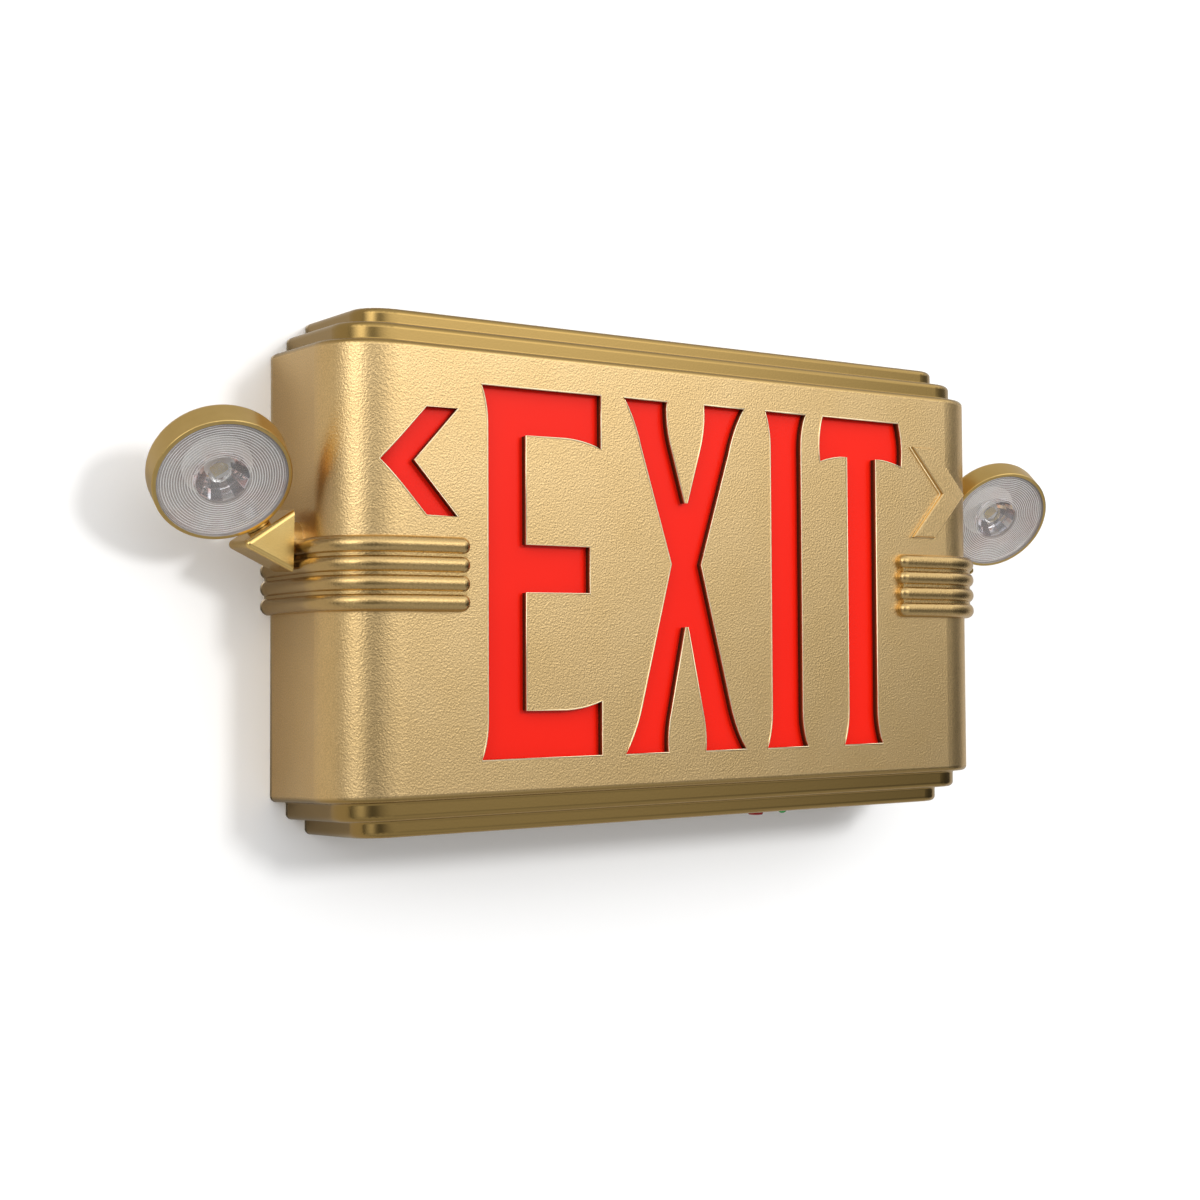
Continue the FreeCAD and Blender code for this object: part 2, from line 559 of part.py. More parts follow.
strip_face = size("tray_back") + size("tray_wall")
for word, sign in (("upper", "1"), ("lower", "-1")):
    strip = body_named(word + "_led_strip")
    board = sketch_on(strip, word.title() + "StripOutline", "XZ_Plane", lift(strip_face))
    for index in range(4):
        corner_a = Vector((-1, 1, 1, -1)[index] * 100, (-1, -1, 1, 1)[index] * 5 + 40 * float(sign), 0)
        corner_b = Vector((1, 1, -1, -1)[index] * 100, (-1, 1, 1, -1)[index] * 5 + 40 * float(sign), 0)
        board.addGeometry(Part.LineSegment(corner_a, corner_b))
    for index in range(4):
        board.addConstraint(Sketcher.Constraint("Coincident", index, 2, (index + 1) % 4, 1))
        board.addConstraint(Sketcher.Constraint(("Horizontal", "Vertical")[index % 2], index))
    bind(board, Sketcher.Constraint("DistanceX", -1, 1, 0, 2, 100), "Sizes.strip_length / 2")
    bind(board, Sketcher.Constraint("DistanceX", 0, 1, 0, 2, 200), "Sizes.strip_length")
    bind(board, Sketcher.Constraint("DistanceY", 1, 1, 1, 2, 10), "Sizes.strip_width")
    bind(board, Sketcher.Constraint("DistanceY", -1, 1, 1, 2, 5),
         "%s * Sizes.strip_height + Sizes.strip_width / 2" % sign)
    pad(strip, word.title() + "StripBoard", board, "Sizes.strip_thickness")
    led_x = size("led_pitch") * (size("led_count") - 1) / 2
    led_z, led_half = float(sign) * size("strip_height"), size("led_side") / 2
    led_sketch = outline(sketch_on(strip, word.title() + "LedOutline", "XZ_Plane",
                                   lift(strip_face + size("strip_thickness"))),
                         (-led_x - led_half, led_z - led_half),
                         [(-led_x + led_half, led_z - led_half), (-led_x + led_half, led_z + led_half),
                          (-led_x - led_half, led_z + led_half)])
    led = pad(strip, word.title() + "Led", led_sketch, "Sizes.led_rise")
    leds = strip.newObject("PartDesign::LinearPattern", word.title() + "LedRow")
    leds.Originals = [led]
    leds.Direction = (led_sketch, ["H_Axis"])
    leds.setExpression("Length", "Sizes.led_pitch * (Sizes.led_count - 1)")
    leds.setExpression("Occurrences", "Sizes.led_count")
    strip.Tip = leds
doc.recompute()

# ---------------------------------------------------------------- back plate, one folded sheet

plate = body_named("back_plate")
half_plate = size("cover_width") / 2 - size("wall") - size("plate_fit")
low_edge = size("cover_height") / 2 - size("wall") - size("plate_fit")
flange_drop = size("flange_depth") * SLOPE
high_edge = size("second_step_height") / 2 - size("wall") - size("plate_fit") - flange_drop
half_flange = size("flange_width") / 2
sheet_outline = outline(sketch_on(plate, "PlateOutline", "XZ_Plane"), (-half_plate, -low_edge), [
    (-half_flange, -low_edge), (-half_flange, -high_edge), (half_flange, -high_edge),
    (half_flange, -low_edge), (half_plate, -low_edge), (half_plate, low_edge),
    (half_flange, low_edge), (half_flange, high_edge), (-half_flange, high_edge),
    (-half_flange, low_edge), (-half_plate, low_edge)])
pad(plate, "PlateSheet", sheet_outline, "Sizes.plate_thickness")
for word, sign in (("Upper", 1), ("Lower", -1)):
    fold = high_edge - size("plate_thickness")
    flange = outline(sketch_on(plate, word + "FlangeOutline", "XZ_Plane"), (-half_flange, sign * fold), [
        (half_flange, sign * fold), (half_flange, sign * high_edge), (-half_flange, sign * high_edge)])
    pad(plate, word + "Flange", flange, "Sizes.flange_depth")
post_sketch = sketch_on(plate, "TrayPosts", "XZ_Plane")
for post_x in ("Sizes.post_x", "-Sizes.post_x"):
    for post_z in ("Sizes.post_z", "-Sizes.post_z"):
        circle(post_sketch, post_x, post_z, "Sizes.post_radius")
pad(plate, "TrayPostPads", post_sketch, "Sizes.tray_back")
board_posts = sketch_on(plate, "BoardPosts", "XZ_Plane")
for side in ("+", "-"):
    for rise in ("+", "-"):
        circle(board_posts, "Sizes.board_x %s (Sizes.board_width / 2 - 5)" % side,
               "Sizes.board_z %s (Sizes.board_height / 2 - 5)" % rise, "Sizes.board_post_radius")
pad(plate, "BoardPostPads", board_posts, "Sizes.board_stand + Sizes.plate_thickness")
holes = sketch_on(plate, "PlateHoles", "XZ_Plane")
circle(holes, "0", "0.001", "Sizes.wire_hole_radius")
circle(holes, "Sizes.box_hole_spacing / 2", "0", "Sizes.box_hole_radius")
circle(holes, "-Sizes.box_hole_spacing / 2", "0", "Sizes.box_hole_radius")
pocket(plate, "PlateBores", holes, "Sizes.plate_thickness + 1", reverse=True)
slot, big, rise = size("keyhole_slot"), size("keyhole_radius"), size("keyhole_rise")
shoulder_z = math.sqrt(big * big - slot * slot)
keyholes = sketch_on(plate, "Keyholes", "XZ_Plane")
for side in (-1, 1):
    key_x, key_z = side * size("keyhole_spacing") / 2, size("keyhole_height")
    outline(keyholes, (key_x + slot, key_z + shoulder_z), [
        (key_x + slot, key_z + rise), (key_x, key_z + rise + slot, key_x - slot, key_z + rise),
        (key_x - slot, key_z + shoulder_z), (key_x, key_z - big, key_x + slot, key_z + shoulder_z)])
pocket(plate, "KeyholeCuts", keyholes, "Sizes.plate_thickness + 1", reverse=True)
screw_holes = sketch_on(plate, "FlangeHoles", "XY_Plane", lift(-high_edge - 1))
circle(screw_holes, "Sizes.cover_screw_x", "Sizes.cover_screw_y", "Sizes.cover_screw_radius")
circle(screw_holes, "-Sizes.cover_screw_x", "Sizes.cover_screw_y", "Sizes.cover_screw_radius")
pocket(plate, "FlangeBores", screw_holes, "Sizes.plate_thickness + 2", reverse=True)
doc.recompute()


# ---------------------------------------------------------------- power parts


def box_part(label, low, width, depth, height):
    """A plain block from its lowest corner; the sizes are expressions or numbers."""
    block = doc.addObject("Part::Box", label)
    block.Label = label
    block.setExpression("Length", width)
    block.setExpression("Width", depth)
    block.setExpression("Height", height)
    block.Placement.Base = low
    return block


def rod(label, centre, direction, radius, height):
    """A plain cylinder from the middle of its foot."""
    cylinder = doc.addObject("Part::Cylinder", label)
    cylinder.setExpression("Radius", radius)
    cylinder.setExpression("Height", height)
    cylinder.Placement = Placement(centre, Rotation(Z_AXIS, direction))
    return cylinder


def joined(label, pieces, kind="Part::MultiFuse", keyword="Shapes"):
    """One object from several, fused or kept together as a group of separate solids."""
    feature = doc.addObject(kind, label)
    feature.Label = label
    setattr(feature, keyword, pieces)
    return feature


board_low_x = size("board_x") - size("board_width") / 2
board_low_z = size("board_z") - size("board_height") / 2
board_front = -size("plate_thickness") - size("board_stand") - size("board_thickness")
charger_sheet = box_part("charger_sheet", Vector(board_low_x, board_front, board_low_z), "Sizes.board_width",
                         "Sizes.board_thickness", "Sizes.board_height")
capacitors = [rod("capacitor_%d" % number, Vector(size("board_x") + 8 + 13 * number, board_front,
                                                   size("board_z") - 14), -Y_AXIS, "5", "16")
              for number in range(2)]
joined("charger_board", [charger_sheet] + capacitors)

core = size("transformer_side")
transformer = box_part("transformer_core", Vector(board_low_x + 8, board_front - size("transformer_height"),
                                                  board_low_z + 11),
                       "Sizes.transformer_side", "Sizes.transformer_height", "Sizes.transformer_side")
bobbin = box_part("transformer_bobbin", Vector(board_low_x + 13, board_front - size("transformer_height") + 5,
                                               board_low_z + 5),
                  "Sizes.transformer_side - 10", "Sizes.transformer_height - 8", "Sizes.transformer_side + 12")
joined("transformer", [transformer, bobbin])

terminal = box_part("terminal_body", Vector(board_low_x + 62, board_front - 12, board_low_z + 42),
                    "Sizes.terminal_width", "12", "10")
wire_holes = [rod("terminal_hole_%d" % number, Vector(board_low_x + 66 + 8 * number, board_front - 5,
                                                      board_low_z + 46), Z_AXIS, "1.6", "10")
              for number in range(3)]
entries = joined("terminal_holes", wire_holes)
terminal_block = doc.addObject("Part::Cut", "terminal_block")
terminal_block.Label = "terminal_block"
terminal_block.Base = terminal
terminal_block.Tool = entries

cell, cells = size("cell_radius"), int(size("cell_count"))
cell_y = -size("plate_thickness") - cell
first_cell = size("battery_x") - cell * (cells - 1)
battery = body_named("battery_pack")
pack_plan = sketch_on(battery, "PackPlan", "XY_Plane", lift(size("battery_z")))
dip = cell * 0.55
dip_x = math.sqrt(cell * cell - dip * dip)
steps = []
for number in range(cells):
    centre = first_cell + 2 * cell * number
    if number:
        steps.append((centre - dip_x, cell_y - dip))
    if number < cells - 1:
        steps.append((centre, cell_y - cell, centre + dip_x, cell_y - dip))
    else:
        steps.append((centre, cell_y - cell, centre + cell, cell_y))
for number in reversed(range(cells)):
    centre = first_cell + 2 * cell * number
    if number < cells - 1:
        steps.append((centre + dip_x, cell_y + dip))
    if number:
        steps.append((centre, cell_y + cell, centre - dip_x, cell_y + dip))
    else:
        steps.append((centre, cell_y + cell, centre - cell, cell_y))
outline(pack_plan, (first_cell - cell, cell_y), steps)
pad(battery, "PackSleeve", pack_plan, "Sizes.cell_length", both_ways=True)

strap = body_named("battery_strap")
strap_plan = sketch_on(strap, "StrapPlan", "XY_Plane", lift(size("battery_z")))
thin, foot = size("strap_thickness"), size("strap_foot")
inside = cell * cells
lid = -size("plate_thickness") - 2 * cell
floor = -size("plate_thickness")
strap_x = size("battery_x")
outline(strap_plan, (strap_x - inside - foot, floor), [
    (strap_x - inside, floor), (strap_x - inside, lid), (strap_x + inside, lid), (strap_x + inside, floor),
    (strap_x + inside + foot, floor), (strap_x + inside + foot, floor - thin),
    (strap_x + inside + thin, floor - thin), (strap_x + inside + thin, lid - thin),
    (strap_x - inside - thin, lid - thin), (strap_x - inside - thin, floor - thin),
    (strap_x - inside - foot, floor - thin)])
pad(strap, "StrapBand", strap_plan, "Sizes.strap_width", both_ways=True)

# ---------------------------------------------------------------- underside: screws, button, pilot light

foot_z = underside_z(size("underside_y"))
inner_floor = underside_z(size("underside_y") - size("button_collar")) + size("wall") + 0.02
screws = []
for side, word in ((-1, "left"), (1, "right")):
    screw_x = side * size("cover_screw_x")
    seat = Vector(screw_x, size("cover_screw_y"), seat_z)
    head = rod(word + "_screw_head", seat, -Z_AXIS, "Sizes.screw_head_radius", "Sizes.screw_head_height")
    shank = rod(word + "_screw_shank", seat, Z_AXIS, "Sizes.cover_screw_radius", "Sizes.screw_length")
    slot_box = box_part(word + "_screw_slot", seat - Vector(size("screw_head_radius"), size("screw_slot") / 2,
                                                           size("screw_head_height")),
                        "2 * Sizes.screw_head_radius", "Sizes.screw_slot", "Sizes.screw_head_height / 2")
    whole = joined(word + "_screw_blank", [head, shank])
    screw = doc.addObject("Part::Cut", word + "_screw")
    screw.Base = whole
    screw.Tool = slot_box
    screws.append(screw)
joined("cover_screws", screws, "Part::Compound", "Links")


def turned(label, profile, placement=None):
    """A turned piece: the outline is (radius, height) from the axis, round the body's Z axis."""
    body = body_named(label, placement)
    sketch = outline(sketch_on(body, label.title().replace("_", "") + "Profile", "XZ_Plane"), *profile)
    revolve(body, label.title().replace("_", "") + "Turning", sketch)
    return body


button_r, collar, stand = size("button_radius"), size("button_collar"), size("button_stand")
button_top = inner_floor + 5
turned("test_button", ((0, foot_z - stand), [
    (button_r - 0.8, foot_z - stand),
    (button_r - 0.23, foot_z - stand + 0.23, button_r, foot_z - stand + 0.8),
    (button_r, inner_floor), (collar, inner_floor), (collar, inner_floor + 1.2), (2, inner_floor + 1.2),
    (2, button_top), (0, button_top)]), Placement(Vector(size("button_x"), size("underside_y"), 0), Rotation()))

pilot_r, pilot_top = size("pilot_radius"), size("control_board_z")
turned("pilot_light", ((0, foot_z - pilot_r - 0.2), [
    (pilot_r * HALF_TURN, foot_z - 0.2 - pilot_r * HALF_TURN, pilot_r, foot_z - 0.2),
    (pilot_r, inner_floor), (pilot_r + 1, inner_floor), (pilot_r + 1, inner_floor + 1.2),
    (pilot_r, inner_floor + 1.2), (pilot_r, pilot_top), (0, pilot_top)]),
    Placement(Vector(size("pilot_x"), size("underside_y"), 0), Rotation()))

control_mid = (size("button_x") + size("pilot_x")) / 2
box_part("control_board", Vector(control_mid - size("control_board_width") / 2,
                                                 -size("plate_thickness") - size("control_board_depth"),
                                                 size("control_board_z")),
                         "Sizes.control_board_width", "Sizes.control_board_depth", "Sizes.board_thickness")
switch_half = size("switch_side") / 2
plunger_room = button_top + size("button_travel") + 0.1
switch_case = box_part("switch_case", Vector(size("button_x") - switch_half, size("underside_y") - switch_half,
                                             plunger_room), "Sizes.switch_side", "Sizes.switch_side",
                       "Sizes.control_board_z - (%.3f)" % plunger_room)
switch_case.Label = "test_switch"

# ---------------------------------------------------------------- swivels, brackets and lamp heads

swivel = Vector(0, size("swivel_y"), size("swivel_z"))
face_top = Vector(-size("bracket_reach"), swivel.y, swivel.z + size("bracket_half_base"))
face_foot = Vector(-size("bracket_reach") - size("bracket_tip_out"), swivel.y,
                   swivel.z - size("bracket_tip_drop"))
pivot_point = (face_top + face_foot) * 0.5
slope = (face_foot - face_top).normalize()
pivot_axis = Vector(slope.z, 0, -slope.x)
TURNED_AROUND = Placement(Vector(0, 2 * swivel.y, 0), Rotation(Z_AXIS, 180))


def tilted(degrees):
    """A turn about the swivel's own axis, along X."""
    return Placement(Vector(), Rotation(X_AXIS, degrees), swivel)


lean = math.radians(size("pivot_tilt"))
inner_axis = Vector(-math.sin(lean), 0, math.cos(lean))
inner_pivot = Vector(size("pivot_offset"), 0, -size("pivot_drop"))


def head_on_bracket(turn):
    """Where a lamp head's own frame sits on the left bracket: +Z is the way it shines."""
    across = -Y_AXIS
    upward = pivot_axis.cross(across)
    angle = math.radians(turn)
    shine = (pivot_axis * math.cos(lean)
             + (across * math.cos(angle) + upward * math.sin(angle)) * math.sin(lean))
    towards = (shine * math.cos(lean) - pivot_axis).normalize()
    rotation = Rotation(towards, shine.cross(towards), shine, "ZXY")
    return Placement(pivot_point - rotation.multVec(inner_pivot), rotation)


def along_pivot(distance):
    """A place on the head's pivot axis, in the head's own frame."""
    return Placement(inner_pivot + inner_axis * distance, Rotation(Z_AXIS, inner_axis))


def cylinder_feature(body, kind, name, placement, radius, height):
    feature = body.newObject(kind, name)
    feature.setExpression("Radius", radius)
    feature.setExpression("Height", height)
    feature.Placement = placement
    return feature


lens_radius, thick = size("lens_radius"), size("lens_thickness")
lens_top = -size("lens_recess")
lens_foot = lens_top - thick
rim, waist, depth = size("head_rim_radius"), size("head_waist_radius"), size("head_depth")
wall, curl = size("head_wall"), size("head_back_round")
inner_back = wall - depth
inner_radius = waist - wall - 0.3
fillet_in = curl - wall

HEAD_OUTSIDE = (0, 0), [
    (rim - 0.6, 0), (rim - 0.18, -0.18, rim, -0.6), (waist, curl - depth),
    (waist - curl * (1 - HALF_TURN), -depth + curl * (1 - HALF_TURN), waist - curl, -depth), (0, -depth)]
HEAD_INSIDE = (0, 1), [
    (lens_radius, 1), (lens_radius, lens_foot), (lens_radius - size("lens_ledge"), lens_foot),
    (lens_radius - size("lens_ledge"), lens_foot - 0.8), (inner_radius, lens_foot - 0.8 - 0.8),
    (inner_radius, inner_back + fillet_in),
    (inner_radius - fillet_in * (1 - HALF_TURN), inner_back + fillet_in * (1 - HALF_TURN),
     inner_radius - fillet_in, inner_back), (0, inner_back)]

ring_count, plain = int(size("lens_ring_count")), size("lens_plain_radius")
ring_width = (lens_radius - 0.8 - plain) / ring_count
LENS_STEPS = [(plain, lens_top)]
for number in range(ring_count):
    valley = plain + ring_width * (number + 0.5)
    LENS_STEPS += [(valley, lens_top - size("lens_ring_depth")), (plain + ring_width * (number + 1), lens_top)]
LENS = (0, lens_top), LENS_STEPS + [(lens_radius, lens_top), (lens_radius, lens_foot), (0, lens_foot)]

mouth, throat, shell = size("reflector_mouth"), size("reflector_throat"), size("reflector_wall")
board_top = inner_back + size("led_board_thickness")
reflector_top = board_top + size("reflector_height")
knee_r, knee_z = mouth - 1.6, (board_top + reflector_top) / 2
REFLECTOR = (throat, board_top), [
    (knee_r, knee_z), (mouth, reflector_top), (mouth + shell, reflector_top), (knee_r + shell, knee_z),
    (throat + shell, board_top)]
chip_top = board_top + size("chip_height")
collimator_top = chip_top + size("collimator_height")
cap_radius, cap_height = size("collimator_radius"), size("collimator_cap")
ball = (cap_radius * cap_radius + cap_height * cap_height) / (2 * cap_height)
half_sweep = math.asin(cap_radius / ball) / 2
COLLIMATOR = (0, chip_top), [
    (size("collimator_foot"), chip_top), (cap_radius, collimator_top - cap_height),
    (ball * math.sin(half_sweep), collimator_top - ball * (1 - math.cos(half_sweep)), 0, collimator_top)]


def bracket(label, placement):
    """A wedge with rounded edges, the hollow trunnion that it turns on, and a bore for the pivot."""
    body = body_named(label, placement)
    foot = swivel.z - size("bracket_half_base")
    triangle = outline(sketch_on(body, "Wedge", "XZ_Plane", lift(-swivel.y)), (face_top.x, face_top.z), [
        (face_foot.x, face_foot.z), (face_top.x, foot)])
    wedge = pad(body, "WedgeBlock", triangle, "Sizes.bracket_width", both_ways=True)
    doc.recompute()
    free_edges = edges_where(wedge, lambda edge: any(
        abs(vertex.Point.x - face_top.x) > 1e-4 for vertex in edge.Vertexes))
    round_edges(body, "WedgeRound", wedge, free_edges, "Sizes.bracket_round")
    stub = circle(sketch_on(body, "TrunnionCircle", "YZ_Plane", lift(-size("bracket_reach"))),
                  "Sizes.swivel_y", "Sizes.swivel_z", "Sizes.trunnion_radius")
    pad(body, "Trunnion", stub, "Sizes.trunnion_length")
    passage = circle(sketch_on(body, "PassageCircle", "YZ_Plane",
                               lift(size("trunnion_length") + 1 - size("bracket_reach"))),
                     "Sizes.swivel_y", "Sizes.swivel_z", "Sizes.passage_radius")
    pocket(body, "Passage", passage, "Sizes.trunnion_length + 8")
    deep = pivot_point - pivot_axis * size("pivot_depth")
    cylinder_feature(body, "PartDesign::SubtractiveCylinder", "PivotBore",
                     Placement(deep, Rotation(Z_AXIS, pivot_axis)), "Sizes.pivot_bore",
                     "Sizes.pivot_depth + 2")
    return body


def ring_on_swivel(label, start, radius, thickness, placement):
    """A flat ring on the trunnion inside the cover, start mm in from the outer face."""
    body = body_named(label, placement)
    sketch = sketch_on(body, "Ring", "YZ_Plane", lift(start - size("cover_width") / 2))
    circle(sketch, "Sizes.swivel_y", "Sizes.swivel_z", radius)
    circle(sketch, "Sizes.swivel_y", "Sizes.swivel_z", "Sizes.trunnion_radius")
    pad(body, "RingPad", sketch, thickness)
    return body


def head_shell(label, placement):
    """A spun cup with a rolled rim, a ledge for the lens and the boss that meets the bracket."""
    body = body_named(label, placement)
    revolve(body, "Outside", outline(sketch_on(body, "OutsideProfile", "XZ_Plane"), *HEAD_OUTSIDE))
    cylinder_feature(body, "PartDesign::AdditiveCylinder", "PivotBoss", along_pivot(size("pivot_gap")),
                     "Sizes.pivot_boss_radius", "Sizes.pivot_boss_length")
    revolve(body, "Inside", outline(sketch_on(body, "InsideProfile", "XZ_Plane"), *HEAD_INSIDE),
            "PartDesign::Groove")
    cylinder_feature(body, "PartDesign::SubtractiveCylinder", "PivotHole", along_pivot(-1),
                     "Sizes.pivot_radius", "Sizes.pivot_inner_length + 2")
    return body


def pivot_tube(label, placement):
    """The hollow pivot that carries the head, with a ring at its inner end."""
    body = body_named(label, placement)
    cylinder_feature(body, "PartDesign::AdditiveCylinder", "Tube", along_pivot(0.2 - size("pivot_depth")),
                     "Sizes.pivot_radius", "Sizes.pivot_depth - 0.2 + Sizes.pivot_inner_length")
    cylinder_feature(body, "PartDesign::AdditiveCylinder", "EndRing", along_pivot(size("pivot_inner_length")),
                     "Sizes.pivot_ring_radius", "Sizes.pivot_ring_width")
    cylinder_feature(body, "PartDesign::SubtractiveCylinder", "Bore", along_pivot(-1 - size("pivot_depth")),
                     "Sizes.passage_radius", "Sizes.pivot_depth + Sizes.pivot_inner_length + 4")
    return body


def led_board(label, placement):
    """A round board with one square chip in the middle."""
    body = body_named(label, placement)
    disc = circle(sketch_on(body, "BoardCircle", "XY_Plane", lift(inner_back)), "0", "0.001",
                  "Sizes.led_board_radius")
    pad(body, "Board", disc, "Sizes.led_board_thickness")
    half = size("chip_side") / 2
    chip = outline(sketch_on(body, "ChipOutline", "XY_Plane", lift(board_top)), (-half, -half), [
        (half, -half), (half, half), (-half, half)])
    pad(body, "Chip", chip, "Sizes.chip_height")
    return body


for side, home in (("left", Placement()), ("right", TURNED_AROUND)):
    bracket_place = tilted(size(side + "_tilt")).multiply(home)
    bracket(side + "_bracket", bracket_place)
    ring_on_swivel(side + "_swivel_washer", size("wall") + 0.05, "Sizes.washer_radius",
                   "Sizes.washer_thickness", home)
    ring_on_swivel(side + "_swivel_nut", size("wall") + 0.05 + size("washer_thickness"), "Sizes.nut_radius",
                   "Sizes.nut_thickness", bracket_place)
    head_place = bracket_place.multiply(head_on_bracket(size(side + "_turn")))
    head_shell(side + "_head_shell", head_place)
    pivot_tube(side + "_pivot", head_place)
    led_board(side + "_led_board", head_place)
    turned(side + "_reflector", REFLECTOR, head_place)
    turned(side + "_collimator", COLLIMATOR, head_place)
    turned(side + "_lens", LENS, head_place)
doc.recompute()

PARTS = ["cover", "chevron_insert", "red_panel", "light_tray", "upper_led_strip", "lower_led_strip",
         "back_plate", "charger_board", "transformer", "terminal_block", "battery_pack", "battery_strap",
         "cover_screws", "test_button", "test_switch", "pilot_light", "control_board"]
PARTS += [side + piece for side in ("left", "right")
          for piece in ("_bracket", "_swivel_washer", "_swivel_nut", "_head_shell", "_pivot", "_led_board",
                        "_reflector", "_collimator", "_lens")]

for item in doc.Objects:
    if "Invalid" in item.State or "Error" in item.State:
        raise RuntimeError("%s did not build: %s" % (item.Label, item.State))
os.makedirs("parts", exist_ok=True)
for label in PARTS:
    piece = doc.getObjectsByLabel(label)[0].Shape
    if piece.isNull() or not piece.isValid():
        raise RuntimeError(label + " has no valid shape")
    piece.exportStep("parts/%s.step" % label)
    print(label, len(piece.Solids), round(piece.Volume, 1))
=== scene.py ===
import math

import bpy
import numpy as np
from mathutils import Matrix, Vector


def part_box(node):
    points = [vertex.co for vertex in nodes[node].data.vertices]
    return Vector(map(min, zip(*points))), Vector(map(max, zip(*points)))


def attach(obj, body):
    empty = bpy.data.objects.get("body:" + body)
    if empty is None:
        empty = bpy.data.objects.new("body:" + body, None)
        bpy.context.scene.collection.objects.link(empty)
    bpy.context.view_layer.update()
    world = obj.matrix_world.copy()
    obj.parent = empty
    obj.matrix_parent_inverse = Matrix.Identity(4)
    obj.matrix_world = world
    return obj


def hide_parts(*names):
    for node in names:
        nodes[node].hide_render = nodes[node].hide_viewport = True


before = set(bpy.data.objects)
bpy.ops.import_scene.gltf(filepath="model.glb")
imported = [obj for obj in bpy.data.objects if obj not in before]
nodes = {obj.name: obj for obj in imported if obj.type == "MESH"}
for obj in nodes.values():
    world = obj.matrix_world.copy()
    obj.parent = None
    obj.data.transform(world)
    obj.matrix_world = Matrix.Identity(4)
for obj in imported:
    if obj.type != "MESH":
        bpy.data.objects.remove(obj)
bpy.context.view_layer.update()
MM = 0.001

# ---------------------------------------------------------------- back plate and strap
# The back plate is folded from zinc-plated steel sheet and carries everything inside.
# The strap that holds the battery and the swivels' rings and tubes have the same bright plating.


def linear(hex_colour):
    """A colour written as sRGB hex, as the linear values that a shader takes."""
    channels = [int(hex_colour[at:at + 2], 16) / 255 for at in (1, 3, 5)]
    return [c / 12.92 if c <= 0.04045 else ((c + 0.055) / 1.055) ** 2.4 for c in channels] + [1.0]


def add_node(tree, kind, links=None, **settings):
    """A shader node with its settings; links gives each input a number, a colour or another output."""
    node = tree.nodes.new(kind)
    for name, setting in settings.items():
        setattr(node, name, setting)
    for name, value in (links or {}).items():
        if isinstance(value, bpy.types.NodeSocket):
            tree.links.new(value, node.inputs[name])
        else:
            node.inputs[name].default_value = value
    return node


def new_material(name):
    """An empty material and its tree."""
    material = bpy.data.materials.new(name)
    material.use_nodes = True
    material.node_tree.nodes.clear()
    return material, material.node_tree


def object_space(tree):
    """Where a point is, in metres; every pattern is laid out in it."""
    return add_node(tree, "ShaderNodeTexCoord").outputs["Object"]


def per_metre(size_mm):
    """The scale of a pattern in object space whose cells are this wide."""
    return 1000.0 / size_mm


def noise(tree, place, size_mm, detail=2.0):
    """A soft, cloudy pattern from 0 to 1."""
    return add_node(tree, "ShaderNodeTexNoise", {"Vector": place, "Scale": per_metre(size_mm),
                                                 "Detail": detail}).outputs[0]


def blend(tree, share, first, second, **settings):
    """A colour that turns from first to second; each is hex, a list or another output."""
    ends = [linear(end) if isinstance(end, str) else end for end in (first, second)]
    return add_node(tree, "ShaderNodeMix", {"Factor": share, "A": ends[0], "B": ends[1]},
                    data_type="RGBA", **settings).outputs["Result"]


def map_range(tree, value, from_min=0.0, from_max=1.0, to_min=0.0, to_max=1.0):
    """A number that runs from to_min to to_max while value runs from from_min to from_max."""
    return add_node(tree, "ShaderNodeMapRange", {
        "Value": value, "From Min": from_min, "From Max": from_max, "To Min": to_min,
        "To Max": to_max}).outputs[0]


def finish_surface(tree, shader):
    """End a material with this shader."""
    add_node(tree, "ShaderNodeOutputMaterial", {"Surface": shader})


def finish_principled(tree, links):
    """End a material with one principled shader."""
    finish_surface(tree, add_node(tree, "ShaderNodeBsdfPrincipled", links).outputs[0])


def dress(name, *materials):
    """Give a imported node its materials; all of its faces start in the first."""
    mesh = nodes[name].data
    mesh.materials.clear()
    for material in materials:
        mesh.materials.append(material)
    mesh.polygons.foreach_set("material_index", [0] * len(mesh.polygons))


# Zinc plate over steel: cool grey crystals under a cloudy film, duller in some places than in others.
zinc_plated_steel, tree = new_material("zinc_plated_steel")
place = object_space(tree)
spangle = add_node(tree, "ShaderNodeTexVoronoi", {"Vector": place, "Scale": per_metre(4.0)})
film = noise(tree, place, 14.0, detail=3.0)
finish_principled(tree, {
    "Base Color": blend(tree, spangle.outputs["Color"], "#A9ADB2", "#C6C9CC"), "Metallic": 1.0,
    "Roughness": map_range(tree, film, to_min=0.28, to_max=0.46)})
for name in ("back_plate", "battery_strap", "cover_screws", "left_swivel_washer", "right_swivel_washer",
             "left_swivel_nut", "right_swivel_nut", "left_pivot", "right_pivot"):
    dress(name, zinc_plated_steel)

# ---------------------------------------------------------------- power parts
# Boards of glass-epoxy with a green solder mask, a varnished transformer, a moulded terminal block
# and a battery pack in a shrunk sleeve. They stand on the back plate, out of sight behind the tray.


def bumps(tree, height, strength, depth_mm):
    """A surface direction that follows a pattern this deep."""
    return add_node(tree, "ShaderNodeBump", {"Height": height, "Strength": strength,
                                             "Distance": depth_mm * MM}).outputs[0]


def moulded_plastic(name, dark, light, roughness, grain_mm=0.8):
    """A moulded plastic with faint flow marks and a fine grain."""
    material, tree = new_material(name)
    place = object_space(tree)
    finish_principled(tree, {
        "Base Color": blend(tree, noise(tree, place, 9.0), dark, light), "Roughness": roughness,
        "Normal": bumps(tree, noise(tree, place, grain_mm), strength=0.15, depth_mm=0.05)})
    return material


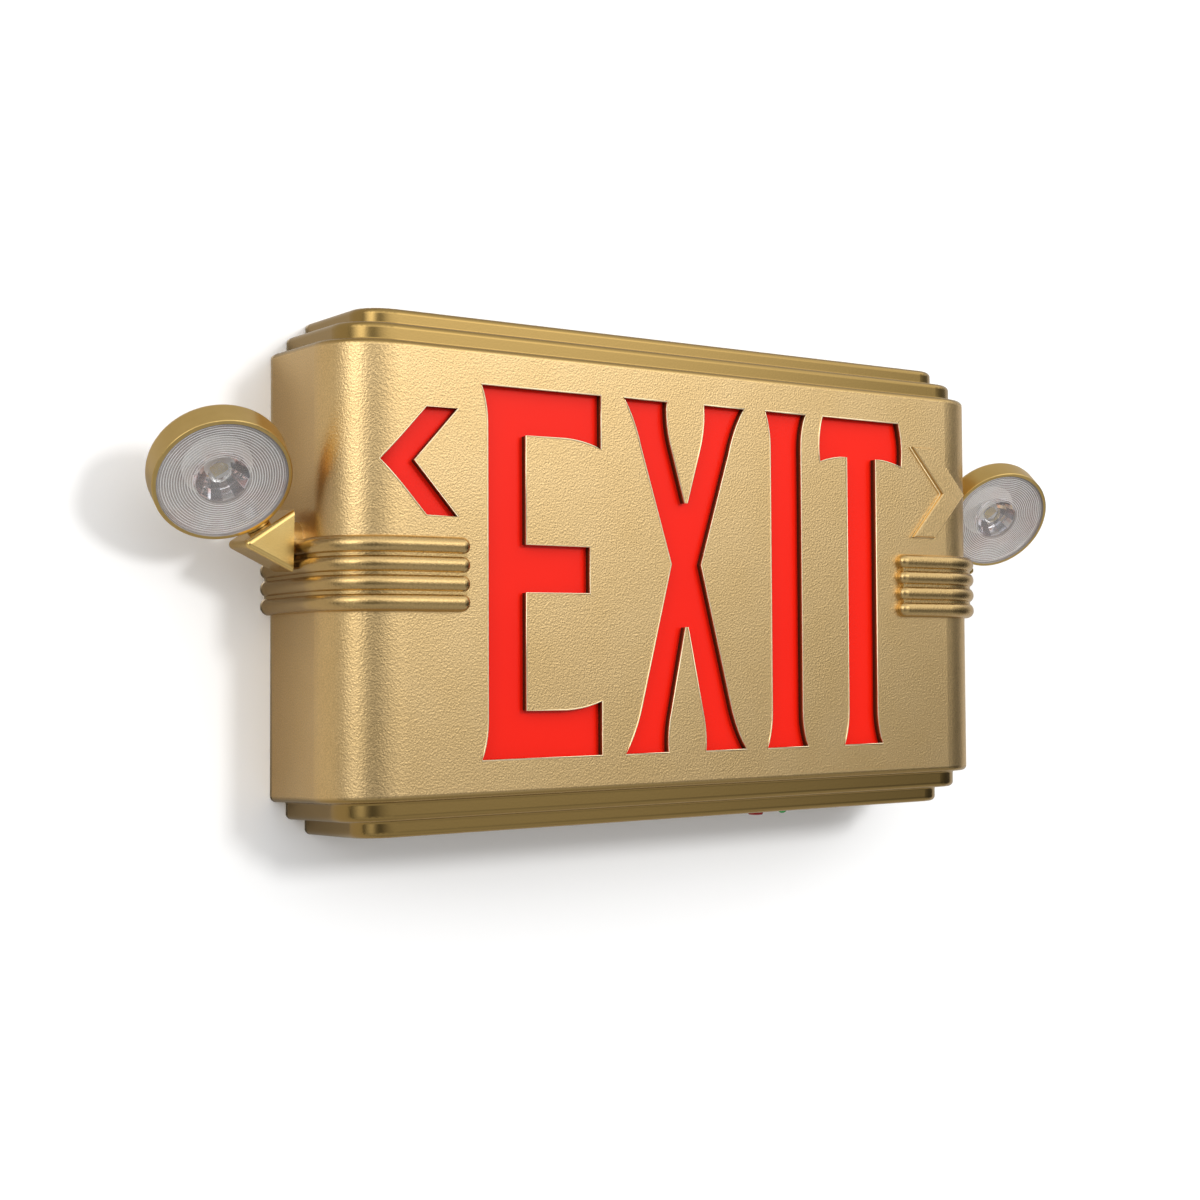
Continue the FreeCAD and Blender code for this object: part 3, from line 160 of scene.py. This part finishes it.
# Solder mask over copper: a glossy green, in which the wide tracks show as paler lines.
solder_mask, tree = new_material("green_solder_mask")
tracks = add_node(tree, "ShaderNodeTexBrick", {
    "Vector": object_space(tree), "Scale": per_metre(22.0), "Color1": linear("#1E6B3A"),
    "Color2": linear("#226F3F"), "Mortar": linear("#3B8A52"), "Mortar Size": 0.02})
finish_principled(tree, {"Base Color": tracks.outputs["Color"], "Roughness": 0.32})
dress("charger_board", solder_mask)
dress("control_board", solder_mask)

# Varnish over an iron core: a dull brown-grey.
dress("transformer", moulded_plastic("varnished_core", "#33302E", "#494542", 0.45))
# Nylon: a plain blue with a soft shine.
dress("terminal_block", moulded_plastic("terminal_nylon", "#1C4E86", "#24609E", 0.35))
# Shrunk PVC sleeve: a glossy dark blue, with wide ripples where it was pulled tight.
dress("battery_pack", moulded_plastic("battery_sleeve", "#1F3B78", "#2A4B91", 0.22, grain_mm=2.5))
# Phenolic: nearly black, with a low sheen.
dress("test_switch", moulded_plastic("switch_phenolic", "#17181A", "#232427", 0.4))
# ABS: a glossy signal red.
dress("test_button", moulded_plastic("button_abs", "#9E1712", "#B4201A", 0.25))
# Tinted acrylic: a green with the sharpest shine of them all.
dress("pilot_light", moulded_plastic("pilot_lens_green", "#1F9A45", "#35B65B", 0.12))

# ---------------------------------------------------------------- light tray and strips
# The tray is aluminium sheet under white enamel, so that it throws the strips' light forward.
# The strips are narrow boards under the same white, with a row of light chips.

CHIP_REGION = 1.4 * MM


def paint_faces(name, index, chosen):
    """Put the faces for which chosen(centre, normal) is true in the material with this index."""
    for face in nodes[name].data.polygons:
        if chosen(face.center, face.normal):
            face.material_index = index


# White enamel: a bright, warm white whose slight waviness is how a sprayed coat dries.
white_enamel, tree = new_material("white_enamel")
peel = noise(tree, object_space(tree), 1.6, detail=1.0)
finish_principled(tree, {
    "Base Color": blend(tree, peel, "#EDECE7", "#F6F5F1"), "Roughness": 0.3,
    "Normal": bumps(tree, peel, strength=0.2, depth_mm=0.05)})
# Phosphor over a light chip: the yellow that an unlit chip shows.
chip_yellow = moulded_plastic("phosphor_over_chip", "#D9B64A", "#E8CB66", 0.35, grain_mm=0.4)

dress("light_tray", white_enamel)
behind_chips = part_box("upper_led_strip")[0].y + CHIP_REGION
for name in ("upper_led_strip", "lower_led_strip"):
    dress(name, white_enamel, chip_yellow)
    paint_faces(name, 1, lambda centre, normal: centre.y < behind_chips)

# ---------------------------------------------------------------- red panel
# A sheet of translucent red acrylic, its ends bent to follow the casting's corners. It lies against
# the back of the cut-outs, and it has a faint painted glow of its own, though the strips are unlit.

# Translucent acrylic: one deep, even red without grain, softly glossy, with a faint painted glow
# that keeps it from falling to black.
red_acrylic, tree = new_material("red_acrylic")
place = object_space(tree)
finish_principled(tree, {
    "Base Color": blend(tree, noise(tree, place, 60.0), "#DE1706", "#E61E09"), "Roughness": 0.3,
    "IOR": 1.49, "Specular IOR Level": 0.22,
    "Normal": bumps(tree, noise(tree, place, 3.0), strength=0.1, depth_mm=0.05),
    "Emission Color": linear("#FF1A08"), "Emission Strength": 0.04})
dress("red_panel", red_acrylic)

# ---------------------------------------------------------------- cover and chevron insert
# One aluminium casting under a satin gold lacquer. Its flat faces keep the mould's fine pebble,
# and the steps and ribs were polished before the lacquer, so they are glossier; their tone is darker.
# The walls of the cut-outs are a dark brown, darker deeper in as painted shade, and their front edges
# are rolled to a fine bead, painted paler as a painted highlight.

FACE_Y = -78 * MM
MOULD_DRAFT = math.tan(math.radians(3.4))
STEPS_RISE = 14.6 * MM
BOX_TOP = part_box("cover")[1].z - STEPS_RISE
# The polish of the steps comes in between these two heights, both under the box's top edge.
STEP_POLISH_FROM, STEP_POLISH_FULL = 2.6 * MM, 1.2 * MM
CORNER_X, CORNER_Y, CORNER_RADIUS = 143 * MM, -50 * MM, 28 * MM
# The polish of the ribs comes in between these two distances outside the corner's curve.
RIB_POLISH_FROM, RIB_POLISH_FULL = 0.2 * MM, 1.2 * MM
RIB_POLISH = 0.5


def maths(tree, operation, *values):
    """One step of arithmetic on numbers or outputs."""
    return add_node(tree, "ShaderNodeMath", dict(enumerate(values)), operation=operation).outputs[0]


def lacquered_gold(name, polish=None):
    """Satin gold over a pebbled casting; polish(tree, place) gives where the pebble was polished off."""
    material, tree = new_material(name)
    place = object_space(tree)
    # The real pebble is finer. It is drawn as coarse as it has to be to show from a metre away.
    pebble = add_node(tree, "ShaderNodeTexNoise", {"Vector": place, "Scale": per_metre(0.6), "Detail": 3.0,
                                                   "Roughness": 0.6}).outputs[0]
    fleck = add_node(tree, "ShaderNodeTexVoronoi", {"Vector": place, "Scale": per_metre(0.8)},
                     feature="SMOOTH_F1").outputs["Distance"]
    satin = blend(tree, noise(tree, place, 26.0, detail=4.0), "#DDBB80", "#E6C792")
    # The pebble's tops are painted lighter and its pits darker: a painted sparkle and painted shade.
    painted_pebble_sparkle = map_range(tree, pebble, 0.38, 0.66, 0.87, 1.12)
    tone = add_node(tree, "ShaderNodeVectorMath", {0: satin, 1: painted_pebble_sparkle}, operation="MULTIPLY").outputs[0]
    dull, relief = 0.3, 0.6
    if polish:
        polished = polish(tree, place)
        # Where polished, the tone is also made darker.
        tone = blend(tree, polished, tone, "#A28650")
        dull = map_range(tree, polished, to_min=dull, to_max=0.17)
        relief = map_range(tree, polished, to_min=relief, to_max=0.06)
    finish_principled(tree, {
        "Base Color": tone, "Metallic": 1.0, "Roughness": dull,
        "Normal": bumps(tree, maths(tree, "ADD", pebble, fleck), relief, depth_mm=0.14)})
    return material


def steps_and_ribs(tree, place):
    """1 on the steps above and below the box, RIB_POLISH on the ribs and 0 on the pebbled faces."""
    axes = add_node(tree, "ShaderNodeSeparateXYZ", {"Vector": place}).outputs
    # The box's top slopes by the draft, so a height is compared with the slope at the same depth.
    slope = maths(tree, "MULTIPLY", axes["Y"], MOULD_DRAFT)
    height = maths(tree, "SUBTRACT", maths(tree, "ABSOLUTE", axes["Z"]), slope)
    on_step = map_range(tree, height, BOX_TOP - STEP_POLISH_FROM, BOX_TOP - STEP_POLISH_FULL)
    outward = maths(tree, "SUBTRACT", maths(tree, "ABSOLUTE", axes["X"]), CORNER_X)
    forwards = maths(tree, "SUBTRACT", CORNER_Y, axes["Y"])
    from_corner = add_node(tree, "ShaderNodeCombineXYZ", {
        "X": maths(tree, "MAXIMUM", outward, 0.0), "Y": maths(tree, "MAXIMUM", forwards, 0.0)}).outputs[0]
    reach = add_node(tree, "ShaderNodeVectorMath", {0: from_corner}, operation="LENGTH").outputs["Value"]
    on_rib = map_range(tree, reach, CORNER_RADIUS + RIB_POLISH_FROM, CORNER_RADIUS + RIB_POLISH_FULL,
                       to_max=RIB_POLISH)
    return maths(tree, "MAXIMUM", on_step, on_rib)


# Gold lacquer over cast aluminium: a warm metal glow, broken by the pebble's bumps and its painted
# sparkle into small bright flecks.
gold_casting = lacquered_gold("gold_lacquered_casting", steps_and_ribs)
# The insert comes from the same mould finish, and no part of it was polished.
pebbled_gold = lacquered_gold("gold_lacquered_insert")

# Cut-out walls: a half-gloss brown near the front edge, painted darker deeper in as painted shade.
CUT_SHADE_FROM, CUT_SHADE_FULL = 1.2 * MM, 1.8 * MM
cut_wall, tree = new_material("dark_brown_cut_wall")
place = object_space(tree)
depth = add_node(tree, "ShaderNodeSeparateXYZ", {"Vector": place}).outputs["Y"]
wall_brown = blend(tree, noise(tree, place, 1.5, detail=3.0), "#5B3512", "#7A4B1E")
painted_shade_share = map_range(tree, depth, FACE_Y + CUT_SHADE_FROM, FACE_Y + CUT_SHADE_FULL)
finish_principled(tree, {"Base Color": blend(tree, painted_shade_share, wall_brown, "#3A1C0A"), "Roughness": 0.42})

dress("cover", gold_casting, cut_wall)
dress("chevron_insert", pebbled_gold)

WALL_THICK = 3.5 * MM
SQUARE_TO_FRONT = 0.02
FACE_SLACK = 0.05 * MM
RIBS_BEGIN = 140 * MM
CHEVRONS_BOTTOM, CHEVRONS_TOP = 20 * MM, 70 * MM
LETTERS_REACH = 77 * MM


def on_cut_wall(centre, normal):
    """True on a wall of a letter or chevron: square to the front, near it, and not a rib's end."""
    in_the_face = FACE_Y - FACE_SLACK < centre.y < FACE_Y + 2 * WALL_THICK
    off_the_ribs = abs(centre.x) < RIBS_BEGIN or CHEVRONS_BOTTOM < centre.z < CHEVRONS_TOP
    return abs(normal.y) < SQUARE_TO_FRONT and in_the_face and off_the_ribs and abs(centre.z) < LETTERS_REACH


paint_faces("cover", 1, on_cut_wall)

MICROMETRES = 1e6
BEAD_DEPTH = 2.4 * MM
BEAD_RADIUS = 0.38 * MM
BEAD_SIDES = 8
OUTWARD = Vector((0, -1, 0))


def spot(point):
    """A point's place in whole micrometres, the same for every face that meets there."""
    return tuple(round(part * MICROMETRES) for part in point)


def closed_loops(neighbours):
    """Each ring of spots that runs from neighbour to neighbour and back to its first."""
    waiting = set(neighbours)
    while waiting:
        loop = [min(waiting)]
        waiting.discard(loop[0])
        onward = [end for end in neighbours[loop[0]] if end in waiting]
        while onward:
            loop.append(onward[0])
            waiting.discard(onward[0])
            onward = [end for end in neighbours[loop[-1]] if end in waiting]
        if loop[0] in neighbours[loop[-1]] and len(loop) > 3:
            yield loop


# The beads run along the edges between a cut-out's wall (material 1) and the front face (material 0).
cover_mesh = nodes["cover"].data
edge_faces = {}
for face in cover_mesh.polygons:
    for a, b in face.edge_keys:
        edge = frozenset((spot(cover_mesh.vertices[a].co), spot(cover_mesh.vertices[b].co)))
        edge_faces.setdefault(edge, []).append(face.material_index)
bead_behind = round((FACE_Y + BEAD_DEPTH) * MICROMETRES)
neighbours = {}
for edge, sides in edge_faces.items():
    if sorted(sides) == [0, 1] and len(edge) == 2 and all(end[1] < bead_behind for end in edge):
        a, b = edge
        neighbours.setdefault(a, []).append(b)
        neighbours.setdefault(b, []).append(a)

bead_points, bead_faces = [], []
for loop in closed_loops(neighbours):
    path = [Vector(end) * (1 / MICROMETRES) for end in loop]
    first, count = len(bead_points), len(path)
    for number, middle in enumerate(path):
        along = (path[(number + 1) % count] - path[number - 1]).normalized()
        across = along.cross(OUTWARD).normalized()
        ring, following = first + number * BEAD_SIDES, first + (number + 1) % count * BEAD_SIDES
        for side in range(BEAD_SIDES):
            turn = 2 * math.pi * side / BEAD_SIDES
            spoke = OUTWARD * math.cos(turn) + across * math.sin(turn)
            bead_points.append(middle + spoke * BEAD_RADIUS)
            other = (side + 1) % BEAD_SIDES
            bead_faces.append((ring + side, ring + other, following + other, following + side))


def new_piece(name, vertices, faces, material, body, slot, smooth=True):
    """A mesh piece with one material, riding on a body."""
    mesh = bpy.data.meshes.new(name)
    mesh.from_pydata(vertices, [], faces)
    mesh.polygons.foreach_set("use_smooth", [smooth] * len(faces))
    mesh.materials.append(material)
    piece = bpy.data.objects.new(name, mesh)
    bpy.context.scene.collection.objects.link(piece)
    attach(piece, body)
    return piece


# The same lacquer over a rolled edge, painted paler as a painted highlight: a thin line of light.
rolled_edge_highlight, tree = new_material("gold_rolled_edge_painted_highlight")
bead_drift = noise(tree, object_space(tree), 3.0, detail=3.0)
finish_principled(tree, {
    "Base Color": blend(tree, bead_drift, "#EFD8A6", "#FFF2D0"), "Metallic": 1.0, "Roughness": 0.34})
new_piece("cut_out_beads", bead_points, bead_faces, rolled_edge_highlight, "housing", "gold_casting")

# ---------------------------------------------------------------- lamp brackets and head shells
# The brackets are small castings and the shells are spun cups, both smooth under the same lacquer.
# The inside of each shell is left bright, so that it throws stray light forward.

INNER_RADIUS = 26.3 * MM
LENS_MID_DEPTH = 1.7 * MM
RIM_LIP = 0.2 * MM
BACK_DEPTH = 13.2 * MM


def turned_frame(name):
    """The middle of a round, flat piece and the direction of its axis, out of the lamp."""
    points = np.array([vertex.co for vertex in nodes[name].data.vertices])
    low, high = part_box(name)
    centre = np.array((low + high) / 2)
    axis = Vector(np.linalg.svd(points - centre, full_matrices=False)[2][2])
    if axis.y > 0:
        axis.negate()
    return Vector(centre), axis


def smooth_gold(name, dark, light, roughness):
    """Lacquered gold over smooth metal, with a slow drift of tone and a trace of orange peel."""
    material, tree = new_material(name)
    place = object_space(tree)
    drift = noise(tree, place, 12.0, detail=3.0)
    finish_principled(tree, {
        "Base Color": blend(tree, drift, dark, light), "Metallic": 1.0, "Roughness": roughness,
        "Normal": bumps(tree, noise(tree, place, 0.9), strength=0.12, depth_mm=0.1)})
    return material


# Gold lacquer over a polished casting: the brightest gold, glossy enough to show each facet.
bracket_gold = smooth_gold("gold_lacquered_bracket", "#DDB76A", "#EFD089", 0.24)
# Gold lacquer over spun aluminium: deeper and more satin, with long soft highlights round the rim.
shell_gold = smooth_gold("gold_lacquered_spinning", "#BE9F5E", "#D2B474", 0.3)

# Brightened aluminium: a pale, even grey that scatters light more than it mirrors it.
bright_inside, tree = new_material("brightened_aluminium")
film = noise(tree, object_space(tree), 5.0, detail=3.0)
finish_principled(tree, {
    "Base Color": blend(tree, film, "#8F8883", "#B9B2AD"), "Metallic": 0.1, "Roughness": 0.5})

for side in ("left", "right"):
    dress(side + "_bracket", bracket_gold)
    dress(side + "_head_shell", shell_gold, bright_inside)
    centre, axis = turned_frame(side + "_lens")
    rim_centre = centre + axis * LENS_MID_DEPTH

    def inside_the_cup(point, normal):
        """True below the rim and within the shell's inner wall."""
        below = (rim_centre - point).dot(axis)
        radius = (point - rim_centre + axis * below).length
        return radius < INNER_RADIUS and RIM_LIP < below < BACK_DEPTH

    paint_faces(side + "_head_shell", 1, inside_the_cup)

# ---------------------------------------------------------------- lamp optics
# Each lens is a moulded polycarbonate disc with fine rings round a plain middle. Behind it a
# faceted, metallised reflector stands round a clear collimator over one light chip.


def polycarbonate(name, stain_mm, detail, clean, stained, roughness, cover, stain_from=0.0, stain_to=1.0):
    """A clear moulding with a slow stain; cover is how much it hides of what is behind it."""
    material, tree = new_material(name)
    stain = map_range(tree, noise(tree, object_space(tree), stain_mm, detail), stain_from, stain_to)
    finish_principled(tree, {
        "Base Color": blend(tree, stain, clean, stained), "Roughness": roughness, "IOR": 1.58,
        "Alpha": cover})
    return material


# Polycarbonate: a clear, glossy disc that veils the bright cup, a little warm in places.
clear_lens = polycarbonate("clear_polycarbonate", 13.0, 2.0, "#F6F3F1", "#F2D3CC", roughness=0.06,
                           cover=0.2, stain_from=0.45, stain_to=0.75)
# The plain middle is thinner and flat, so it hides almost nothing of the reflector.
clear_middle = polycarbonate("clear_polycarbonate_middle", 6.0, 2.0, "#FAFAFB", "#F6F3F2",
                             roughness=0.03, cover=0.04)
# The ridge of each moulded ring is a more opaque white, so the rings show as fine white lines.
white_ridge = polycarbonate("white_polycarbonate_ridge", 5.0, 3.0, "#FFFFFF", "#E6E0DC",
                              roughness=0.15, cover=0.75)

# Clear acrylic: a solid, sharp-shining dome that bends the light of the chip under it.
clear_dome, tree = new_material("clear_acrylic_collimator")
flow = noise(tree, object_space(tree), 4.0)
finish_principled(tree, {
    "Base Color": blend(tree, flow, "#EDEDEB", "#F6F6F4"), "Roughness": 0.03, "IOR": 1.49,
    "Transmission Weight": 0.95})


def metallised_plastic(name, light, mirrored_red_tone):
    """A vacuum-metallised moulding, painted a faint warm pink in places as a painted reflection of red."""
    material, tree = new_material(name)
    mirrored_red_share = map_range(tree, noise(tree, object_space(tree), 7.0, detail=1.0), 0.5, 0.62)
    finish_principled(tree, {
        "Base Color": blend(tree, mirrored_red_share, light, mirrored_red_tone), "Metallic": 1.0, "Roughness": 0.08})
    return material


# Metallised plastic: nearly a mirror. Every other facet is painted darker, a painted reflection of a dim
# room.
metallised = metallised_plastic("metallised_plastic", "#FBFBFF", "#F0C9BE")
shaded_facets = metallised_plastic("metallised_plastic_shaded", "#75757D", "#8A6660")


def spun(profile, centre, axis, sides, closed_at_axis=True):
    """Points and faces of a closed profile of (radius, height) pairs, turned about the axis."""
    across = axis.orthogonal().normalized()
    beside = axis.cross(across)
    vertices, faces = [], []
    for radius, height in profile:
        for number in range(sides):
            turn = 2 * math.pi * number / sides
            spoke = across * math.cos(turn) + beside * math.sin(turn)
            vertices.append(centre + axis * height + spoke * radius)
    rows = len(profile)
    for row in range(rows if not closed_at_axis else rows - 1):
        here, following = row * sides, (row + 1) % rows * sides
        for number in range(sides):
            other = (number + 1) % sides
            faces.append((here + number, following + number, following + other, here + other))
    if closed_at_axis:
        faces.append(tuple(range(sides)))
        faces.append(tuple((rows - 1) * sides + number for number in reversed(range(sides))))
    return vertices, faces


# The lens: a plain middle, dished by twice DISH, then the rings, then a plain border.
LENS_RADIUS, LENS_HALF_THICK = 25.6 * MM, 0.9 * MM
LENS_SIDES = 128
CAP_RADIUS = 0.4 * MM
DISH, DISH_SHARE = 0.03 * MM, 0.6
PLAIN_RADIUS, PLAIN_LIP = 10.6 * MM, 0.7 * MM
RING_COUNT, RING_DEPTH, POINTS_PER_RING = 14, 0.3 * MM, 6
RING_GAP = 0.02 * MM
RIDGE_SHARE = 0.17
BORDER, BORDER_DROP = 0.9 * MM, 0.05 * MM
ring_pitch = (LENS_RADIUS - BORDER - PLAIN_RADIUS) / RING_COUNT
lens_profile = [(CAP_RADIUS, LENS_HALF_THICK - 2 * DISH), (PLAIN_RADIUS * DISH_SHARE, LENS_HALF_THICK - DISH),
                (PLAIN_RADIUS - PLAIN_LIP, LENS_HALF_THICK), (PLAIN_RADIUS, LENS_HALF_THICK)]
for number in range(RING_COUNT * POINTS_PER_RING + 1):
    share = number / POINTS_PER_RING
    dip = RING_DEPTH * (1 - abs(math.sin(math.pi * share)))
    lens_profile.append((PLAIN_RADIUS + RING_GAP + ring_pitch * share, LENS_HALF_THICK - dip))
lens_profile += [(LENS_RADIUS, LENS_HALF_THICK - BORDER_DROP), (LENS_RADIUS, -LENS_HALF_THICK),
                 (CAP_RADIUS, -LENS_HALF_THICK)]

# The reflector: flat facets that widen twice, as a thin sheet. Heights are from the lens's middle.
FACETS = 14
SHEET = 0.5 * MM
THROAT, KNEE, MOUTH = 5.4 * MM, 8.6 * MM, 10.8 * MM
BOARD_TOP, KNEE_HEIGHT, MOUTH_HEIGHT = -9.6 * MM, -5.7 * MM, -1.9 * MM
bowl_profile = [(THROAT, BOARD_TOP), (KNEE, KNEE_HEIGHT), (MOUTH, MOUTH_HEIGHT),
                (MOUTH + SHEET, MOUTH_HEIGHT), (KNEE + SHEET, KNEE_HEIGHT), (THROAT + SHEET, BOARD_TOP)]

CHIP_REACH, CHIP_FOOT = 3.2 * MM, 0.2 * MM
for side in ("left", "right"):
    centre, axis = turned_frame(side + "_lens")
    lens = new_piece(side + "_ringed_lens", *spun(lens_profile, centre, axis, LENS_SIDES), clear_lens,
                     side + "_head", "clear_plastic")
    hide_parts(side + "_lens")
    lens.data.materials.append(clear_middle)
    lens.data.materials.append(white_ridge)
    for face in lens.data.polygons:
        offset = face.center - centre
        reach = (offset - axis * offset.dot(axis)).length
        rings_out = (reach - PLAIN_RADIUS) / ring_pitch
        if reach < PLAIN_RADIUS:
            face.material_index = 1
        elif abs(rings_out - round(rings_out)) < RIDGE_SHARE:
            face.material_index = 2
    bowl = new_piece(side + "_faceted_reflector", *spun(bowl_profile, centre, axis, FACETS, False),
                     metallised, side + "_head", "reflector_chrome", smooth=False)
    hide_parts(side + "_reflector")
    bowl.data.materials.append(shaded_facets)
    # Every other facet takes the darker copy, a painted reflection.
    for number, face in enumerate(bowl.data.polygons):
        face.material_index = number % 2
    dress(side + "_collimator", clear_dome)
    dress(side + "_led_board", white_enamel, chip_yellow)

    def on_chip(point, normal):
        """True on the light chip, which stands on the board's middle."""
        above = (point - centre).dot(axis) - BOARD_TOP
        radius = (point - centre - axis * (above + BOARD_TOP)).length
        return radius < CHIP_REACH and above > CHIP_FOOT

    paint_faces(side + "_led_board", 1, on_chip)

# ---------------------------------------------------------------- wall, light and camera
# A plain white wall behind the sign, one soft lamp in front, above and to the right, and a pale
# surround whose bright and dim panels are what the gold mirrors. The lamp itself isn't mirrored.

WALL_HALF, WALL_GAP = 6.0, 0.6 * MM
SHORT_RAY = 3 * MM
WHITE = [1.0, 1.0, 1.0, 1.0]
wall_mesh = bpy.data.meshes.new("wall")
wall_corners = [(x * WALL_HALF, WALL_GAP, z * WALL_HALF) for x, z in ((-1, -1), (1, -1), (1, 1), (-1, 1))]
wall_mesh.from_pydata(wall_corners, [], [(0, 1, 2, 3)])
wall = bpy.data.objects.new("wall", wall_mesh)
bpy.context.scene.collection.objects.link(wall)

# Matt wall paint: white to the eye. Mirrored in the gold it is duller, as a wall in a room is, and it
# is clear from behind and to rays that have only just left the back plate.
wall_paint, tree = new_material("white_wall_paint")
path = add_node(tree, "ShaderNodeLightPath")
paint = add_node(tree, "ShaderNodeBsdfDiffuse", {"Color": linear("#F6F6F6")})
shade = add_node(tree, "ShaderNodeBsdfDiffuse", {"Color": linear("#C2BDB4")})
glow = add_node(tree, "ShaderNodeEmission", {"Color": WHITE, "Strength": 0.06})
seen = add_node(tree, "ShaderNodeAddShader", {0: paint.outputs[0], 1: glow.outputs[0]})
direct = add_node(tree, "ShaderNodeMixShader", {
    "Fac": path.outputs["Is Camera Ray"], 1: shade.outputs[0], 2: seen.outputs[0]})
facing = add_node(tree, "ShaderNodeNewGeometry")
near = maths(tree, "LESS_THAN", path.outputs["Ray Length"], SHORT_RAY)
clear = add_node(tree, "ShaderNodeBsdfTransparent")
finish_surface(tree, add_node(tree, "ShaderNodeMixShader", {
    "Fac": maths(tree, "MAXIMUM", facing.outputs["Backfacing"], near),
    1: direct.outputs[0], 2: clear.outputs[0]}).outputs[0])
wall_mesh.materials.append(wall_paint)


def panels(tree, share, levels, brightest):
    """A soft ramp of light levels over a share of 0 to 1; levels are (share, light) pairs."""
    ramp = add_node(tree, "ShaderNodeValToRGB", {"Fac": share})
    ramp.color_ramp.interpolation = "B_SPLINE"
    stops = ramp.color_ramp.elements
    while len(stops) < len(levels):
        stops.new(0.5)
    for stop, (where, level) in zip(stops, levels):
        stop.position = where
        tint = level / brightest
        stop.color = (tint, tint, tint, 1)
    return ramp.outputs["Color"]


# Light levels of the surround, by degrees round the sign (0 is straight ahead of it, plus is to its
# right) and by degrees above the horizon. Overhead and underfoot the first list fades to one level.
BRIGHTEST = 2.4
AROUND = [(-180, 0.4), (-104, 0.15), (-90, 0.2), (-76, 1.0), (-60, 2.35), (-48, 0.6), (-34, 0.2),
          (-18, 0.7), (0, 1.15), (24, 1.25), (34, 1.25), (44, 0.5), (58, 0.16), (85, 0.16),
          (105, 0.45), (180, 0.4)]
UPWARDS = [(-90, 0.5), (-42, 0.8), (-28, 0.5), (-12, 0.25), (-4, 0.48), (3, 0.85), (8, 1.05),
           (14, 1.55), (20, 2.3), (30, 2.2), (44, 1.7), (60, 1.1), (90, 1.0)]
OVERHEAD_LEVEL = 0.8
OVERHEAD_FROM, OVERHEAD_FULL = 0.3, 0.65

world = bpy.data.worlds.new("studio")
bpy.context.scene.world = world
world.use_nodes = True
tree = world.node_tree
tree.nodes.clear()
is_camera = add_node(tree, "ShaderNodeLightPath").outputs["Is Camera Ray"]
direction = add_node(tree, "ShaderNodeTexCoord").outputs["Generated"]
axes = add_node(tree, "ShaderNodeSeparateXYZ", {"Vector": direction}).outputs
bearing = maths(tree, "ARCTAN2", axes["X"], maths(tree, "MULTIPLY", axes["Y"], -1.0))
round_share = maths(tree, "MULTIPLY_ADD", bearing, 1 / (2 * math.pi), 0.5)
rise_share = maths(tree, "MULTIPLY_ADD", axes["Z"], 0.5, 0.5)
around = panels(tree, round_share, [((angle + 180) / 360, light) for angle, light in AROUND], BRIGHTEST)
upwards = panels(tree, rise_share, [(0.5 + 0.5 * math.sin(math.radians(angle)), light)
                                    for angle, light in UPWARDS], BRIGHTEST)
overhead = map_range(tree, maths(tree, "ABSOLUTE", axes["Z"]), OVERHEAD_FROM, OVERHEAD_FULL)
sideways = blend(tree, overhead, around, [OVERHEAD_LEVEL / BRIGHTEST] * 3 + [1.0])
light = blend(tree, 1.0, sideways, upwards, blend_type="MULTIPLY")
surround = add_node(tree, "ShaderNodeBackground", {
    "Color": blend(tree, is_camera, light, WHITE),
    "Strength": map_range(tree, is_camera, to_min=BRIGHTEST * BRIGHTEST, to_max=1.0)})
add_node(tree, "ShaderNodeOutputWorld", {"Surface": surround.outputs[0]})

lamp = bpy.data.lights.new("key", "AREA")
lamp.shape = "DISK"
lamp.size = 0.26
lamp.energy = 9
key = bpy.data.objects.new("key", lamp)
key.location = (0.3, -1.5, 0.36)
key.rotation_euler = (-key.location).to_track_quat("-Z", "Y").to_euler()
key.visible_glossy = False
bpy.context.scene.collection.objects.link(key)

# The camera stands below and to the left of the sign. Its angles turn it to the right and up.
CAMERA_PLACE = Vector((-406.02, -653.55, -34.11)) * MM
YAW, PITCH, ROLL = (math.radians(angle) for angle in (31.425, 1.989, -0.2766))
forward = Vector((math.sin(YAW) * math.cos(PITCH), math.cos(YAW) * math.cos(PITCH), math.sin(PITCH)))
level_right = Vector((math.cos(YAW), -math.sin(YAW), 0))
level_up = level_right.cross(forward)
right = level_right * math.cos(ROLL) + level_up * math.sin(ROLL)
up = level_up * math.cos(ROLL) - level_right * math.sin(ROLL)
camera = bpy.data.objects.new("camera", bpy.data.cameras.new("camera"))
camera.data.lens = 48
camera.data.sensor_width = 36
camera.data.clip_start = 0.01
columns = Matrix((right, up, -forward)).transposed().to_4x4()
camera.matrix_world = Matrix.Translation(CAMERA_PLACE) @ columns
bpy.context.scene.collection.objects.link(camera)
bpy.context.scene.camera = camera
bpy.context.scene.view_settings.view_transform = "Standard"
